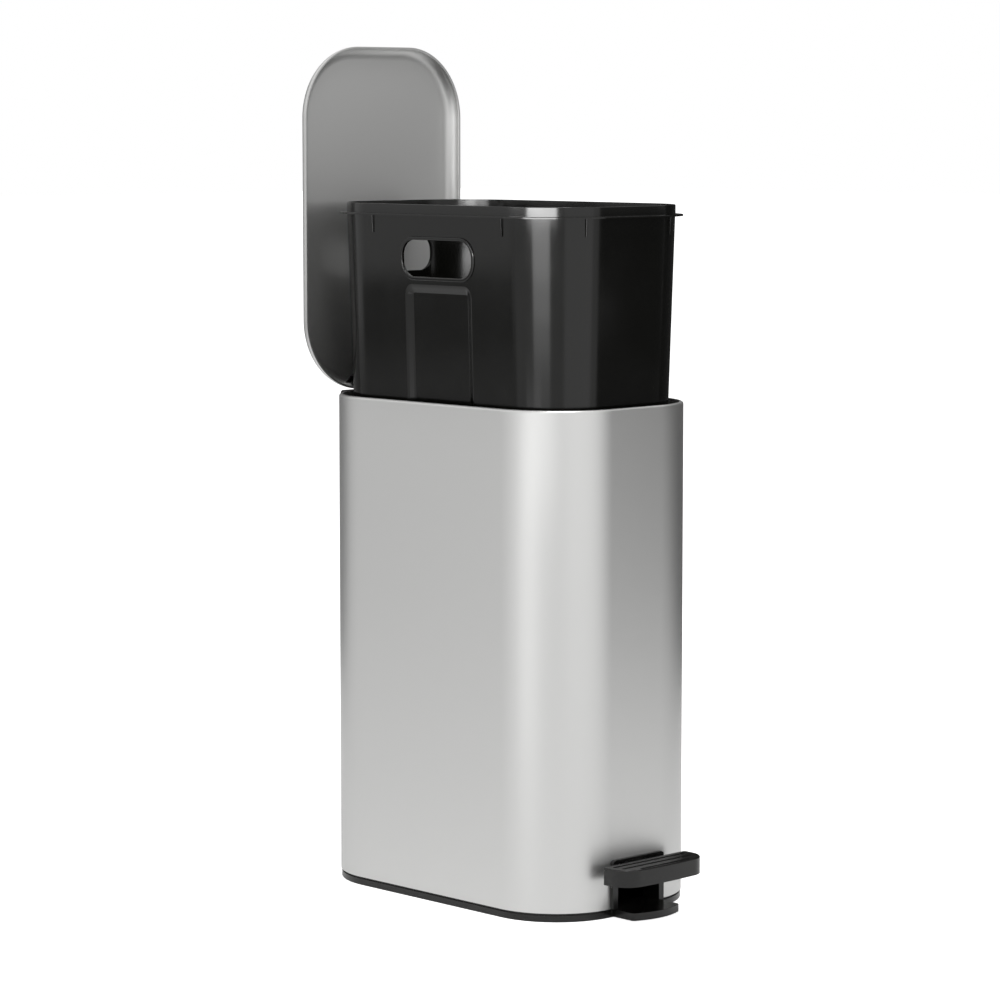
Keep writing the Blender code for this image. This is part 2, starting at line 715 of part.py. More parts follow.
def build_axle(steel):
    """The lever's axle with a push-on cap at each end."""
    tower_end = LEVER_WIDTH / 2 + TURNING_GAP + TOWER_WALL
    end = tower_end + SEAT_GAP + AXLE_END
    bm = bmesh.new()
    rod(bm, "X", (AXLE_Y, AXLE_Z), AXLE_RADIUS, -end, end)
    finish("pedal_axle", bm, steel)
    for side, name in ((-1, "left"), (1, "right")):
        low, high = sorted(
            (side * (tower_end + SEAT_GAP), side * (tower_end + SEAT_GAP + AXLE_CAP_THICKNESS))
        )
        bm = bmesh.new()
        rod(bm, "X", (AXLE_Y, AXLE_Z), AXLE_CAP_RADIUS, low, high)
        cap = finish(f"axle_cap_{name}", bm, steel)
        bm = bmesh.new()
        bore = AXLE_RADIUS + PIN_CLEARANCE
        rod(bm, "X", (AXLE_Y, AXLE_Z), bore, low - CUT_OVERRUN, high + CUT_OVERRUN)
        combine(cap, cutter(f"axle_cap_{name}_bore", bm), "DIFFERENCE")


def build_spring(steel):
    """The coil that stands on the base's peg and holds the pedal up."""
    bottom = FLOOR_TOP + SEAT_GAP + SPRING_WIRE_RADIUS
    top = LEVER_REAR_HEIGHT - SEAT_GAP - SPRING_WIRE_RADIUS
    curve = bpy.data.curves.new("pedal_spring", "CURVE")
    curve.dimensions = "3D"
    curve.bevel_depth = SPRING_WIRE_RADIUS
    curve.bevel_resolution = 1
    curve.use_fill_caps = True
    steps = SPRING_TURNS * SPRING_STEPS_PER_TURN
    spline = curve.splines.new("POLY")
    spline.points.add(steps)
    for step in range(steps + 1):
        turn = 2 * pi * step / SPRING_STEPS_PER_TURN
        rise = bottom + (top - bottom) * step / steps
        place = (SPRING_RADIUS * cos(turn), SPRING_Y + SPRING_RADIUS * sin(turn), rise)
        spline.points[step].co = (*place, 1.0)
    spring = bpy.data.objects.new("pedal_spring", curve)
    bpy.context.collection.objects.link(spring)
    curve.materials.append(steel)
    least_gap = (top - bottom) / SPRING_TURNS - 2 * SPRING_WIRE_RADIUS
    print(f"least gap between the spring's turns: {least_gap:.5f} m")


def build_rod(steel, carrier):
    """The push rod, with rounded ends."""
    rings = []
    for share in (0.35, 0.8, 1.0):
        drop = ROD_RADIUS * (1 - (1 - share * share) ** 0.5)
        rings.append((ROD_RADIUS * share, drop))
    bm = bmesh.new()
    lower = [(radius, ROD_BOTTOM + drop) for radius, drop in rings]
    upper = [(radius, ROD_TOP - drop) for radius, drop in reversed(rings)]
    extrude_rings(
        bm,
        [[(a, b, z) for a, b in circle((0, ROD_Y), radius, SCREW_SEGMENTS)] for radius, z in lower + upper],
    )
    finish("push_rod", bm, steel, carrier)


def build_guides(plastic):
    """Two plastic guides that hold the rod against the sleeve's back wall."""
    back = REAR_Y - SLEEVE_WALL - SEAT_GAP
    front = ROD_Y - ROD_RADIUS - PIN_CLEARANCE - GUIDE_FRONT_WALL
    for name, z in (("lower", LOWER_GUIDE_Z), ("upper", UPPER_GUIDE_Z)):
        bm = bmesh.new()
        chamfer = GUIDE_FRONT_WALL
        outline = [
            (-GUIDE_HALF_WIDTH, back),
            (-GUIDE_HALF_WIDTH, front + chamfer),
            (chamfer - GUIDE_HALF_WIDTH, front),
            (GUIDE_HALF_WIDTH - chamfer, front),
            (GUIDE_HALF_WIDTH, front + chamfer),
            (GUIDE_HALF_WIDTH, back),
        ]
        extrude_outline(bm, outline, "Z", z, z + GUIDE_HEIGHT)
        guide = finish(f"rod_guide_{name}", bm, plastic)
        bm = bmesh.new()
        bore = ROD_RADIUS + PIN_CLEARANCE
        rod(bm, "Z", (0, ROD_Y), bore, z - CUT_OVERRUN, z + GUIDE_HEIGHT + CUT_OVERRUN, SCREW_SEGMENTS)
        combine(guide, cutter(f"rod_guide_{name}_bore", bm), "DIFFERENCE")


def build_hinge_block(plastic, steel):
    """The block behind the rim: a back that fits the curved wall, a bridge and knuckles."""
    notch_z = BODY_TOP - NOTCH_DEPTH
    inner_y = REAR_Y - SLEEVE_WALL - BLOCK_INNER_STANDOFF - BLOCK_INNER_THICKNESS + SEAT_GAP
    outer_y = REAR_Y + SEAT_GAP + BLOCK_OUTER_THICKNESS
    saddle_top = HINGE_Z - KNUCKLE_RADIUS - TURNING_GAP
    flank = BLOCK_HALF_WIDTH - BLOCK_CORNER_RADIUS
    centre_y = outer_y - BLOCK_CORNER_RADIUS
    outline = [(-BLOCK_HALF_WIDTH, inner_y), (BLOCK_HALF_WIDTH, inner_y)]
    outline += arc((flank, centre_y), BLOCK_CORNER_RADIUS, 0, 90, FILLET_STEPS)
    outline += arc((-flank, centre_y), BLOCK_CORNER_RADIUS, 90, 180, FILLET_STEPS)
    bm = bmesh.new()
    extrude_outline(bm, outline, "Z", notch_z - BLOCK_OUTER_DROP, saddle_top)
    block = finish("hinge_block", bm, plastic)

    bm = bmesh.new()
    spans = [
        (-BLOCK_HALF_WIDTH, -ARM_END - TURNING_GAP),
        (-INNER_KNUCKLE_END, CRANK_START - TURNING_GAP),
        (CRANK_START + CRANK_WIDTH + TURNING_GAP, INNER_KNUCKLE_END),
        (ARM_END + TURNING_GAP, BLOCK_HALF_WIDTH),
    ]
    neck_root = saddle_top - UNION_OVERLAP
    for low, high in spans:
        outline = [(HINGE_Y - KNUCKLE_RADIUS, neck_root), (HINGE_Y + KNUCKLE_RADIUS, neck_root)]
        outline += arc((HINGE_Y, HINGE_Z), KNUCKLE_RADIUS, 0, 180, FILLET_STEPS * 3)
        extrude_outline(bm, outline, "X", low, high)
    combine(block, cutter("block_knuckles", bm), "UNION")

    bm = bmesh.new()
    low = notch_z - BLOCK_OUTER_DROP - CUT_OVERRUN
    extrude_rings(bm, [plan_ring(-SEAT_GAP, low), plan_ring(-SEAT_GAP, BODY_TOP + CUT_OVERRUN)])
    wall = cutter("block_wall_room", bm)
    bm = bmesh.new()
    box(
        bm,
        (-NOTCH_HALF_WIDTH, 0, notch_z + SEAT_GAP),
        (NOTCH_HALF_WIDTH, REAR_Y + CUT_OVERRUN, BODY_TOP + CUT_OVERRUN * 2),
    )
    combine(wall, cutter("block_notch_room", bm), "DIFFERENCE")
    combine(block, wall, "DIFFERENCE")

    bm = bmesh.new()
    box(
        bm,
        (-NOTCH_HALF_WIDTH, inner_y, notch_z - BLOCK_INNER_DROP),
        (NOTCH_HALF_WIDTH, inner_y + BLOCK_INNER_THICKNESS, saddle_top),
    )
    combine(block, cutter("block_inner_plate", bm), "UNION")

    bm = bmesh.new()
    end = BLOCK_HALF_WIDTH + CUT_OVERRUN
    rod(bm, "X", (HINGE_Y, HINGE_Z), HINGE_PIN_RADIUS + PIN_CLEARANCE, -end, end, SCREW_SEGMENTS)
    combine(block, cutter("block_pin_bore", bm), "DIFFERENCE")

    bm = bmesh.new()
    box(
        bm,
        (CRANK_START - TURNING_GAP, inner_y - CUT_OVERRUN, notch_z + SEAT_GAP),
        (
            CRANK_START + CRANK_WIDTH + TURNING_GAP,
            inner_y + CRANK_SLOT_DEPTH,
            saddle_top + SEAT_GAP,
        ),
    )
    combine(block, cutter("block_crank_slot", bm), "DIFFERENCE")

    bm = bmesh.new()
    screw_z = notch_z - HINGE_SCREW_DROP
    for side in (-1, 1):
        rod(
            bm,
            "Y",
            (side * HINGE_SCREW_X, screw_z),
            SCREW_SHANK_RADIUS + PIN_CLEARANCE,
            inner_y - CUT_OVERRUN,
            outer_y + CUT_OVERRUN,
            SCREW_SEGMENTS,
        )
    combine(block, cutter("block_screw_bores", bm), "DIFFERENCE")

    bm = bmesh.new()
    pin_end = NOTCH_HALF_WIDTH - PIN_END_INSET
    rod(bm, "X", (HINGE_Y, HINGE_Z), HINGE_PIN_RADIUS, -pin_end, pin_end, SCREW_SEGMENTS)
    finish("hinge_pin", bm, steel)

    for side, name in ((-1, "left"), (1, "right")):
        bm = bmesh.new()
        seat = outer_y + SEAT_GAP
        rings = []
        for radius, y in (
            (SCREW_SHANK_RADIUS, inner_y + SEAT_GAP),
            (SCREW_SHANK_RADIUS, seat),
            (SCREW_HEAD_RADIUS, seat),
            (SCREW_HEAD_RADIUS, seat + SCREW_HEAD_HEIGHT * 0.4),
            (SCREW_HEAD_RADIUS * 0.7, seat + SCREW_HEAD_HEIGHT),
        ):
            points = circle((side * HINGE_SCREW_X, screw_z), radius, SCREW_SEGMENTS)
            rings.append([(a, y, b) for a, b in points])
        extrude_rings(bm, rings)
        finish(f"hinge_screw_{name}", bm, steel)


def lid_ring(inset, z):
    """The lid's outline, drawn in by an inset, at a height."""
    return plan_ring(LID_INSET + inset, z)


def build_lid(steel, carrier):
    """The stamped pan: a flat plate, a full edge radius, a short skirt and a folded hem."""
    centre = (LID_EDGE_RADIUS, LID_TOP - LID_EDGE_RADIUS)
    inner = arc(centre, LID_EDGE_RADIUS - LID_WALL, 90, 180, FILLET_STEPS + 2)
    outer = arc(centre, LID_EDGE_RADIUS, 180, 90, FILLET_STEPS + 2)
    hem_edge = LID_HEM_WIDTH / 2
    profile = inner + [
        (LID_WALL, LID_RIM_Z + LID_HEM_HEIGHT),
        (LID_HEM_WIDTH, LID_RIM_Z + LID_HEM_HEIGHT - hem_edge),
        (LID_HEM_WIDTH, LID_RIM_Z + hem_edge / 2),
        (LID_HEM_WIDTH - hem_edge / 2, LID_RIM_Z),
        (hem_edge / 2, LID_RIM_Z),
        (0, LID_RIM_Z + hem_edge / 2),
    ]
    bm = bmesh.new()
    extrude_rings(bm, [lid_ring(inset, z) for inset, z in profile + outer])
    return finish("lid_shell", bm, steel, carrier)


def build_bracket(plastic, steel, carrier):
    """The lid's hinge bracket: three arms on the pin, a horn with the rod's cross pin, a foot."""
    arm_front = REAR_Y - BUCKET_RIM_INSET + TURNING_GAP
    arm_back = arm_front + BRACKET_ARM_THICKNESS
    foot_top = LID_UNDERSIDE - SEAT_GAP
    foot_bottom = foot_top - BRACKET_FOOT_THICKNESS
    arm = [(arm_front, HINGE_Z - KNUCKLE_RADIUS * BRACKET_ARM_DROP_SHARE)]
    arm += arc((HINGE_Y, HINGE_Z), KNUCKLE_RADIUS, -90, 90, FILLET_STEPS * 3)
    arm += [(arm_back, HINGE_Z + KNUCKLE_RADIUS), (arm_back, foot_top)]
    arm += [(arm_front - BRACKET_ARM_RETURN, foot_top)]
    arm += [(arm_front - BRACKET_ARM_RETURN, foot_bottom)]
    arm += [(arm_front - BRACKET_KNEE_RUN, foot_bottom)]
    arm += [(arm_front, BUCKET_TOP - RIM_RELIEF_HEIGHT)]
    spans = ((-ARM_END, -ARM_START), (CRANK_START, CRANK_START + CRANK_WIDTH), (ARM_START, ARM_END))

    foot_front = arm_back - BRACKET_FOOT_DEPTH
    shoulder_y = arm_back - BRACKET_SHOULDER
    narrow = BRACKET_HALF_WIDTH - BRACKET_CHAMFER
    outline = [
        (BRACKET_HALF_WIDTH, arm_back),
        (-BRACKET_HALF_WIDTH, arm_back),
        (-BRACKET_HALF_WIDTH, shoulder_y),
        (-narrow, shoulder_y - BRACKET_CHAMFER_RUN),
        (-narrow, foot_front),
        (narrow, foot_front),
        (narrow, shoulder_y - BRACKET_CHAMFER_RUN),
        (BRACKET_HALF_WIDTH, shoulder_y),
    ]
    bm = bmesh.new()
    extrude_outline(bm, outline, "Z", foot_bottom, foot_top)
    bracket = finish("lid_bracket", bm, plastic, carrier)

    for number, (low, high) in enumerate(spans, start=1):
        bm = bmesh.new()
        extrude_outline(bm, arm, "X", low, high)
        combine(bracket, cutter(f"bracket_arm_{number}", bm, carrier), "UNION")

    bm = bmesh.new()
    tip_y = HINGE_Y - CRANK_REACH
    tip_z = HINGE_Z - CRANK_REACH
    tip = CRANK_PIN_RADIUS + PIN_CLEARANCE + CRANK_TIP_WALL
    lean = (KNUCKLE_RADIUS - PIN_CLEARANCE) * cos(pi / 4)
    horn = [(HINGE_Y + lean, HINGE_Z - lean), (HINGE_Y - lean, HINGE_Z + lean)]
    horn += arc((tip_y, tip_z), tip, 135, 315, FILLET_STEPS * 2)
    extrude_outline(bm, horn, "X", CRANK_START, CRANK_START + CRANK_WIDTH)
    combine(bracket, cutter("bracket_horn", bm, carrier), "UNION")

    bm = bmesh.new()
    rod(
        bm,
        "X",
        (tip_y, tip_z),
        CRANK_PIN_RADIUS,
        -CRANK_START,
        CRANK_START + CRANK_WIDTH,
        SCREW_SEGMENTS,
    )
    finish("lid_cross_pin", bm, steel, carrier)

    centre = (LID_EDGE_RADIUS, LID_TOP - LID_EDGE_RADIUS)
    room = arc(centre, LID_EDGE_RADIUS - LID_WALL - SEAT_GAP, 90, 180, FILLET_STEPS + 2)
    hem_top = LID_RIM_Z + LID_HEM_HEIGHT + SEAT_GAP
    hem_side = LID_HEM_WIDTH + SEAT_GAP
    room += [(LID_WALL + SEAT_GAP, hem_top), (hem_side, hem_top)]
    room += [(hem_side, LID_RIM_Z - SEAT_GAP), (-CUT_OVERRUN, LID_RIM_Z - SEAT_GAP)]
    room.append((-CUT_OVERRUN, LID_TOP + CUT_OVERRUN))
    bm = bmesh.new()
    extrude_rings(bm, [lid_ring(inset, z) for inset, z in room])
    combine(bracket, cutter("bracket_lid_room", bm, carrier), "DIFFERENCE")

    bm = bmesh.new()
    end = ARM_END + CUT_OVERRUN
    rod(bm, "X", (HINGE_Y, HINGE_Z), HINGE_PIN_RADIUS + PIN_CLEARANCE, -end, end, SCREW_SEGMENTS)
    rod(
        bm,
        "X",
        (tip_y, tip_z),
        CRANK_PIN_RADIUS + PIN_CLEARANCE,
        CRANK_START - CUT_OVERRUN,
        CRANK_START + CRANK_WIDTH + CUT_OVERRUN,
        SCREW_SEGMENTS,
    )
    nut_y = foot_front + BRACKET_NUT_INSET
    for side in (-1, 1):
        rod(
            bm,
            "Z",
            (side * BRACKET_NUT_X, nut_y),
            STUD_RADIUS + PIN_CLEARANCE,
            foot_bottom - CUT_OVERRUN,
            foot_top + CUT_OVERRUN,
            SCREW_SEGMENTS,
        )
    combine(bracket, cutter("bracket_bores", bm, carrier), "DIFFERENCE")

    for side, name in ((-1, "left"), (1, "right")):
        centre = (side * BRACKET_NUT_X, nut_y)
        bm = bmesh.new()
        stud_end = foot_bottom - SEAT_GAP - NUT_HEIGHT - STUD_RADIUS / 2
        rod(bm, "Z", centre, STUD_RADIUS, stud_end, foot_top, SCREW_SEGMENTS)
        finish(f"lid_stud_{name}", bm, steel, carrier)
        bm = bmesh.new()
        rod(bm, "Z", centre, NUT_RADIUS, foot_bottom - SEAT_GAP - NUT_HEIGHT, foot_bottom - SEAT_GAP, 6)
        nut = finish(f"lid_nut_{name}", bm, steel, carrier, smooth=False)
        bm = bmesh.new()
        rod(
            bm,
            "Z",
            centre,
            STUD_RADIUS + PIN_CLEARANCE,
            foot_bottom - NUT_HEIGHT - CUT_OVERRUN,
            foot_bottom + CUT_OVERRUN,
            SCREW_SEGMENTS,
        )
        combine(nut, cutter(f"lid_nut_{name}_bore", bm, carrier), "DIFFERENCE")
    return bracket


def bucket_inset(z):
    """How far the bucket's wall stands in from the sleeve's plan at a height."""
    return BUCKET_TOP_INSET + (FLANGE_BOTTOM - z) * BUCKET_TAPER


def panel_ring(side, proud, shrink, extra, bottom):
    """One ring of a long side's recess, at a depth off the leaning wall."""
    half_width = PANEL_HALF_WIDTH - PANEL_SIDE_SLOPE * shrink + extra
    top = FLANGE_BOTTOM - PANEL_DROP - PANEL_TOP_SLOPE * shrink + extra
    radius = PANEL_CORNER_RADIUS
    outline = [(-half_width, bottom), (half_width, bottom)]
    outline += arc((half_width - radius, top - radius), radius, 0, 90, FILLET_STEPS)
    outline += arc((radius - half_width, top - radius), radius, 90, 180, FILLET_STEPS)
    wall = BODY_WIDTH / 2
    return [(side * (wall - bucket_inset(z) + proud), y + DETAIL_SHIFT, z) for y, z in outline]


def bucket_recesses(name, extra, bottom, carrier):
    """The panels and the rod's channel. The core's are larger by the wall."""
    bm = bmesh.new()
    for side in (-1, 1):
        steps = ((CUT_OVERRUN, 0), (-extra, 0), (-PANEL_DEPTH - extra, 1))
        rings = [panel_ring(side, proud, shrink, extra, bottom) for proud, shrink in steps]
        extrude_rings(bm, rings)
    top = BUCKET_TOP + CUT_OVERRUN
    upper = REAR_Y - BUCKET_RIM_INSET - CHANNEL_DEPTH - extra
    lower = REAR_Y - bucket_inset(bottom) - CHANNEL_DEPTH - extra
    outline = [
        (REAR_Y + CUT_OVERRUN, bottom),
        (REAR_Y + CUT_OVERRUN, top),
        (upper, top),
        (upper, FLANGE_BOTTOM),
        (lower, bottom),
    ]
    half_width = CHANNEL_HALF_WIDTH + extra
    extrude_outline(bm, outline, "X", -half_width, half_width)
    return cutter(name, bm, carrier)


def hole_outline(grow):
    """A finger hole's outline, grown by a margin, about its own centre."""
    return rounded_rectangle(
        HOLE_WIDTH / 2 + grow, HOLE_HEIGHT / 2 + grow, HOLE_RADIUS + grow, FILLET_STEPS * 2
    )


def bead_solid(bm, outline, wall_z, side, along):
    """A raised bead that follows the wall's lean, on a long side or on the back."""
    rings = []
    for proud in (-BUCKET_WALL / 2, BEAD_HEIGHT):
        ring = []
        for a, b in outline:
            z = wall_z + b
            reach = along - bucket_inset(z) + proud
            ring.append((side * reach, a + DETAIL_SHIFT, z) if side else (a, reach, z))
        rings.append(ring)
    extrude_rings(bm, rings)


def gusset(bm, x, y, outward):
    """A thin web under the flange, standing square off the wall."""
    ahead = Vector((outward[0], outward[1], 0))
    across = Vector((-outward[1], outward[0], 0)) * (GUSSET_THICKNESS / 2)
    foot = Vector((x, y, 0))
    low = FLANGE_BOTTOM - GUSSET_HEIGHT
    high = FLANGE_BOTTOM + FLANGE_THICKNESS / 2
    inner = -BUCKET_WALL / 2 - GUSSET_HEIGHT * BUCKET_TAPER
    corners = ((inner, low), (GUSSET_FOOT, low), (GUSSET_REACH, FLANGE_BOTTOM - FLANGE_THICKNESS))
    corners += ((GUSSET_REACH, high), (inner, high))
    rings = []
    for side in (-1, 1):
        rings.append([foot + ahead * out + across * side + Vector((0, 0, z)) for out, z in corners])
    extrude_rings(bm, rings)


def build_bucket(plastic, carrier):
    """The lift-out bucket: tapered walls, a rim over a flat flange, finger holes and panels."""
    floor_inset = bucket_inset(BUCKET_FLOOR_Z)
    foot = arc(
        (floor_inset + BUCKET_BOTTOM_RADIUS, BUCKET_FLOOR_Z + BUCKET_BOTTOM_RADIUS),
        BUCKET_BOTTOM_RADIUS,
        270,
        180,
        FILLET_STEPS,
    )
    profile = foot + [
        (BUCKET_TOP_INSET, FLANGE_BOTTOM),
        (FLANGE_INSET, FLANGE_BOTTOM),
        (FLANGE_INSET, FLANGE_TOP),
        (BUCKET_RIM_INSET, FLANGE_TOP),
        (BUCKET_RIM_INSET, BUCKET_TOP),
    ]
    bm = bmesh.new()
    extrude_rings(bm, [plan_ring(inset, z) for inset, z in profile])
    bucket = finish("inner_bucket", bm, plastic, carrier)
    guide = bucket_recesses("bucket_recesses", 0, BUCKET_FLOOR_Z - CUT_OVERRUN, carrier)
    combine(bucket, guide, "DIFFERENCE")

    inner_foot = BUCKET_BOTTOM_RADIUS - BUCKET_WALL
    inside = floor_inset + BUCKET_WALL
    profile = arc(
        (inside + inner_foot, BUCKET_FLOOR_Z + BUCKET_BOTTOM_RADIUS),
        inner_foot,
        270,
        180,
        FILLET_STEPS,
    )
    profile += [
        (BUCKET_TOP_INSET + BUCKET_WALL, FLANGE_BOTTOM),
        (BUCKET_RIM_INSET + BUCKET_WALL, BUCKET_TOP + CUT_OVERRUN),
    ]
    bm = bmesh.new()
    extrude_rings(bm, [plan_ring(inset, z) for inset, z in profile])
    core = cutter("bucket_core", bm, carrier)
    bottom = BUCKET_FLOOR_Z - CUT_OVERRUN
    guide = bucket_recesses("bucket_core_recesses", BUCKET_WALL, bottom, carrier)
    combine(core, guide, "DIFFERENCE")
    combine(bucket, core, "DIFFERENCE")

    hole_z = FLANGE_BOTTOM - HOLE_DROP
    bm = bmesh.new()
    for side in (-1, 1):
        bead_solid(bm, hole_outline(BEAD_WIDTH), hole_z, side, BODY_WIDTH / 2)
    back_z = FLANGE_BOTTOM - BACK_HOLE_DROP
    bead_solid(bm, hole_outline(BEAD_WIDTH), back_z, 0, REAR_Y)
    straight = GUSSET_SPACING / 2
    top_x = BODY_WIDTH / 2 - BUCKET_TOP_INSET
    for side in (-1, 1):
        for y in (-straight, straight):
            gusset(bm, side * top_x, y + DETAIL_SHIFT, (side, 0))
        for end in (-1, 1):
            outward = (side * sin(GUSSET_CORNER_ANGLE), end * cos(GUSSET_CORNER_ANGLE))
            radius = BODY_CORNER_RADIUS - BUCKET_TOP_INSET
            gusset(
                bm,
                side * (BODY_WIDTH / 2 - BODY_CORNER_RADIUS) + outward[0] * radius,
                end * (BODY_DEPTH / 2 - BODY_CORNER_RADIUS) + outward[1] * radius,
                outward,
            )
    beads = cutter("bucket_beads", bm, carrier)
    bm = bmesh.new()
    box(
        bm,
        (-CHANNEL_HALF_WIDTH, 0, hole_z - HOLE_HEIGHT),
        (CHANNEL_HALF_WIDTH, REAR_Y + CUT_OVERRUN, hole_z + HOLE_HEIGHT / 2 + BEAD_WIDTH * 2),
    )
    combine(beads, cutter("bead_gap", bm, carrier), "DIFFERENCE")
    combine(bucket, beads, "UNION")

    bm = bmesh.new()
    reach = BODY_WIDTH / 2 + CUT_OVERRUN
    outline = [(a + DETAIL_SHIFT, hole_z + b) for a, b in hole_outline(0)]
    extrude_outline(bm, outline, "X", -reach, reach)
    combine(bucket, cutter("bucket_side_holes", bm, carrier), "DIFFERENCE")
    bm = bmesh.new()
    outline = [(a, back_z + b) for a, b in hole_outline(0)]
    extrude_outline(bm, outline, "Y", 0, REAR_Y + CUT_OVERRUN)
    combine(bucket, cutter("bucket_back_hole", bm, carrier), "DIFFERENCE")

    bm = bmesh.new()
    notch_front = REAR_Y - BUCKET_RIM_INSET + SEAT_GAP / 2
    box(
        bm,
        (-FLANGE_NOTCH_HALF_WIDTH, notch_front, FLANGE_BOTTOM - GUSSET_HEIGHT - CUT_OVERRUN),
        (FLANGE_NOTCH_HALF_WIDTH, REAR_Y + CUT_OVERRUN, BUCKET_TOP + CUT_OVERRUN),
    )
    combine(bucket, cutter("bucket_flange_notch", bm, carrier), "DIFFERENCE")

    bm = bmesh.new()
    rim_y = REAR_Y - BUCKET_RIM_INSET
    rise = RIM_RELIEF_HEIGHT / RIM_RELIEF_RUN
    outline = [
        (rim_y + CUT_OVERRUN, BUCKET_TOP - RIM_RELIEF_HEIGHT - rise * CUT_OVERRUN),
        (rim_y + CUT_OVERRUN, BUCKET_TOP + CUT_OVERRUN),
        (rim_y - RIM_RELIEF_RUN - CUT_OVERRUN / rise, BUCKET_TOP + CUT_OVERRUN),
    ]
    extrude_outline(bm, outline, "X", -FLANGE_NOTCH_HALF_WIDTH, FLANGE_NOTCH_HALF_WIDTH)
    combine(bucket, cutter("bucket_rim_relief", bm, carrier), "DIFFERENCE")
    return bucket


def main():
    """Clears the scene, builds every piece, then opens the lid and lifts the bucket."""
    for leftover in list(bpy.data.objects):
        bpy.data.objects.remove(leftover, do_unlink=True)
    brushed_steel = make_material("brushed_steel", (0.55, 0.55, 0.54), 0.34, 1.0)
    plain_steel = make_material("zinc_plated_steel", (0.50, 0.50, 0.48), 0.42, 1.0)
    bucket_plastic = make_material("satin_black_plastic", (0.020, 0.020, 0.018), 0.30)
    base_plastic = make_material("matte_black_plastic", (0.035, 0.035, 0.033), 0.50)
    rubber = make_material("black_rubber", (0.020, 0.020, 0.020), 0.80)

    lid_carrier = make_carrier("lid_axis", (0, HINGE_Y, HINGE_Z))
    bucket_carrier = make_carrier("bucket_lift", (0, 0, FLANGE_BOTTOM))
    pedal_carrier = make_carrier("pedal_axis", (0, AXLE_Y, AXLE_Z))
    rod_carrier = make_carrier("rod_axis", (0, ROD_Y, ROD_BOTTOM))

    build_sleeve(brushed_steel)
    build_base(base_plastic)
    build_feet(rubber)
    build_surround(base_plastic)
    build_pad(base_plastic, pedal_carrier)
    build_lever(plain_steel, pedal_carrier)
    build_axle(plain_steel)
    build_spring(plain_steel)
    build_rod(plain_steel, rod_carrier)
    build_guides(base_plastic)
    build_hinge_block(base_plastic, plain_steel)
    build_lid(brushed_steel, lid_carrier)
    build_bracket(base_plastic, plain_steel, lid_carrier)
    build_bucket(bucket_plastic, bucket_carrier)

    lid_carrier.rotation_euler = (-LID_OPEN_ANGLE, 0, 0)
    bucket_carrier.location.z += BUCKET_LIFT
    bpy.context.view_layer.update()


main()
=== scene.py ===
"""A slim step can: brushed steel sleeve, lid open, black bucket lifted part of the way out."""

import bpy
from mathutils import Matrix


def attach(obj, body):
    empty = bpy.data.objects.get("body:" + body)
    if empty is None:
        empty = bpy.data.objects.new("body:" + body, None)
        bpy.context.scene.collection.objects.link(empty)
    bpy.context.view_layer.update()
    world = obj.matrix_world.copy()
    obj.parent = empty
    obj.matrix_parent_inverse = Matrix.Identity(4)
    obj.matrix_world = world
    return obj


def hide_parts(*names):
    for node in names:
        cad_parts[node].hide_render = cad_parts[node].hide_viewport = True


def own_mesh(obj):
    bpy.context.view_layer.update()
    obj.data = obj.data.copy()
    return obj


bl_info = {
    "name": "Slim step can",
    "version": (1, 0, 0),
    "blender": (4, 5, 0),
    "location": "3D View > Sidebar > Step can",
    "description": "Models and finishes the pieces of a slim step can over its packed frame",
    "category": "Add Mesh",
}

from math import atan, atan2, cos, pi, radians, sin

import bmesh
import bpy
from bpy.props import FloatProperty, FloatVectorProperty, PointerProperty
from bpy.types import Operator, Panel, PropertyGroup
from mathutils import Vector

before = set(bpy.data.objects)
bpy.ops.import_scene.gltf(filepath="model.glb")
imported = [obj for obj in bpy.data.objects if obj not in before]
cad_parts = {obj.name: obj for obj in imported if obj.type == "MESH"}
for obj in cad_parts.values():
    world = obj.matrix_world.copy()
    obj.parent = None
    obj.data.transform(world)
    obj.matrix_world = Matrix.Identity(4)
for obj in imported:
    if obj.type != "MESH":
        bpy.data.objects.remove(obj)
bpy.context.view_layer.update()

UP = Vector((0, 0, 1))
WHITE = (1.0, 1.0, 1.0, 1.0)

CORNER_SEGMENTS = 32
SMALL_CORNER_SEGMENTS = 10
ROUND_STEPS = 6

# How straight a face looks along a direction, how far its centre may lie from the can's
# upright axis, and how near a point lies to a surface or line.
FACING = 0.99
AXIS_REACH = 0.01
NEAR = 0.0001
CLOSE = 0.00001

# Gap between pieces that seat on each other, and how far cutters run past what they cut.
SEAT_GAP = 0.0003
OVERRUN = 0.01
CUT_REACH = 0.02

# Sleeve: the notch for the hinge block at the top of its back.
SLEEVE_NOTCH_HALF_WIDTH = 0.0535
SLEEVE_NOTCH_DROP = 0.016

# Lid: gap over the rim, rounding of the pan, and folded hem.
LID_GAP = 0.0026
LID_ROUND_SPREAD = 1.35
LID_ROUND_STEPS = 10
HEM_HEIGHT = 0.0032
HEM_THICKNESS = 0.0028
HEM_EDGE = 0.0011

# Bucket: leaning wall, foot, edges, and how far the shape of its inside rises over the flange.
TAPER = 0.0316
LEAN = atan(TAPER)
FOOT_RADIUS = 0.010
FLANGE_EDGE = 0.0005
RIM_EDGE = 0.0009
CORE_RISE = 0.03
CORE_CAP = 0.001

# Bucket: recessed panel of each long side, with the share of its depth at each step down.
PANEL_DROP = 0.0785
PANEL_HALF_WIDTH = 0.0560
PANEL_DEPTH = 0.0045
PANEL_RADIUS = 0.0130
PANEL_PROFILE = (0.07, 0.20, 0.23, 0.23, 0.20, 0.07)
PANEL_STEP = 0.002
PANEL_START = 0.006
PANEL_TOP_RUN = 0.0050

# Bucket: channel for the push rod in the back wall.
CHANNEL_HALF_WIDTH = 0.0140
CHANNEL_INSET = 0.0102
CHANNEL_DEPTH = 0.0056
CHANNEL_LEAN = 0.0163

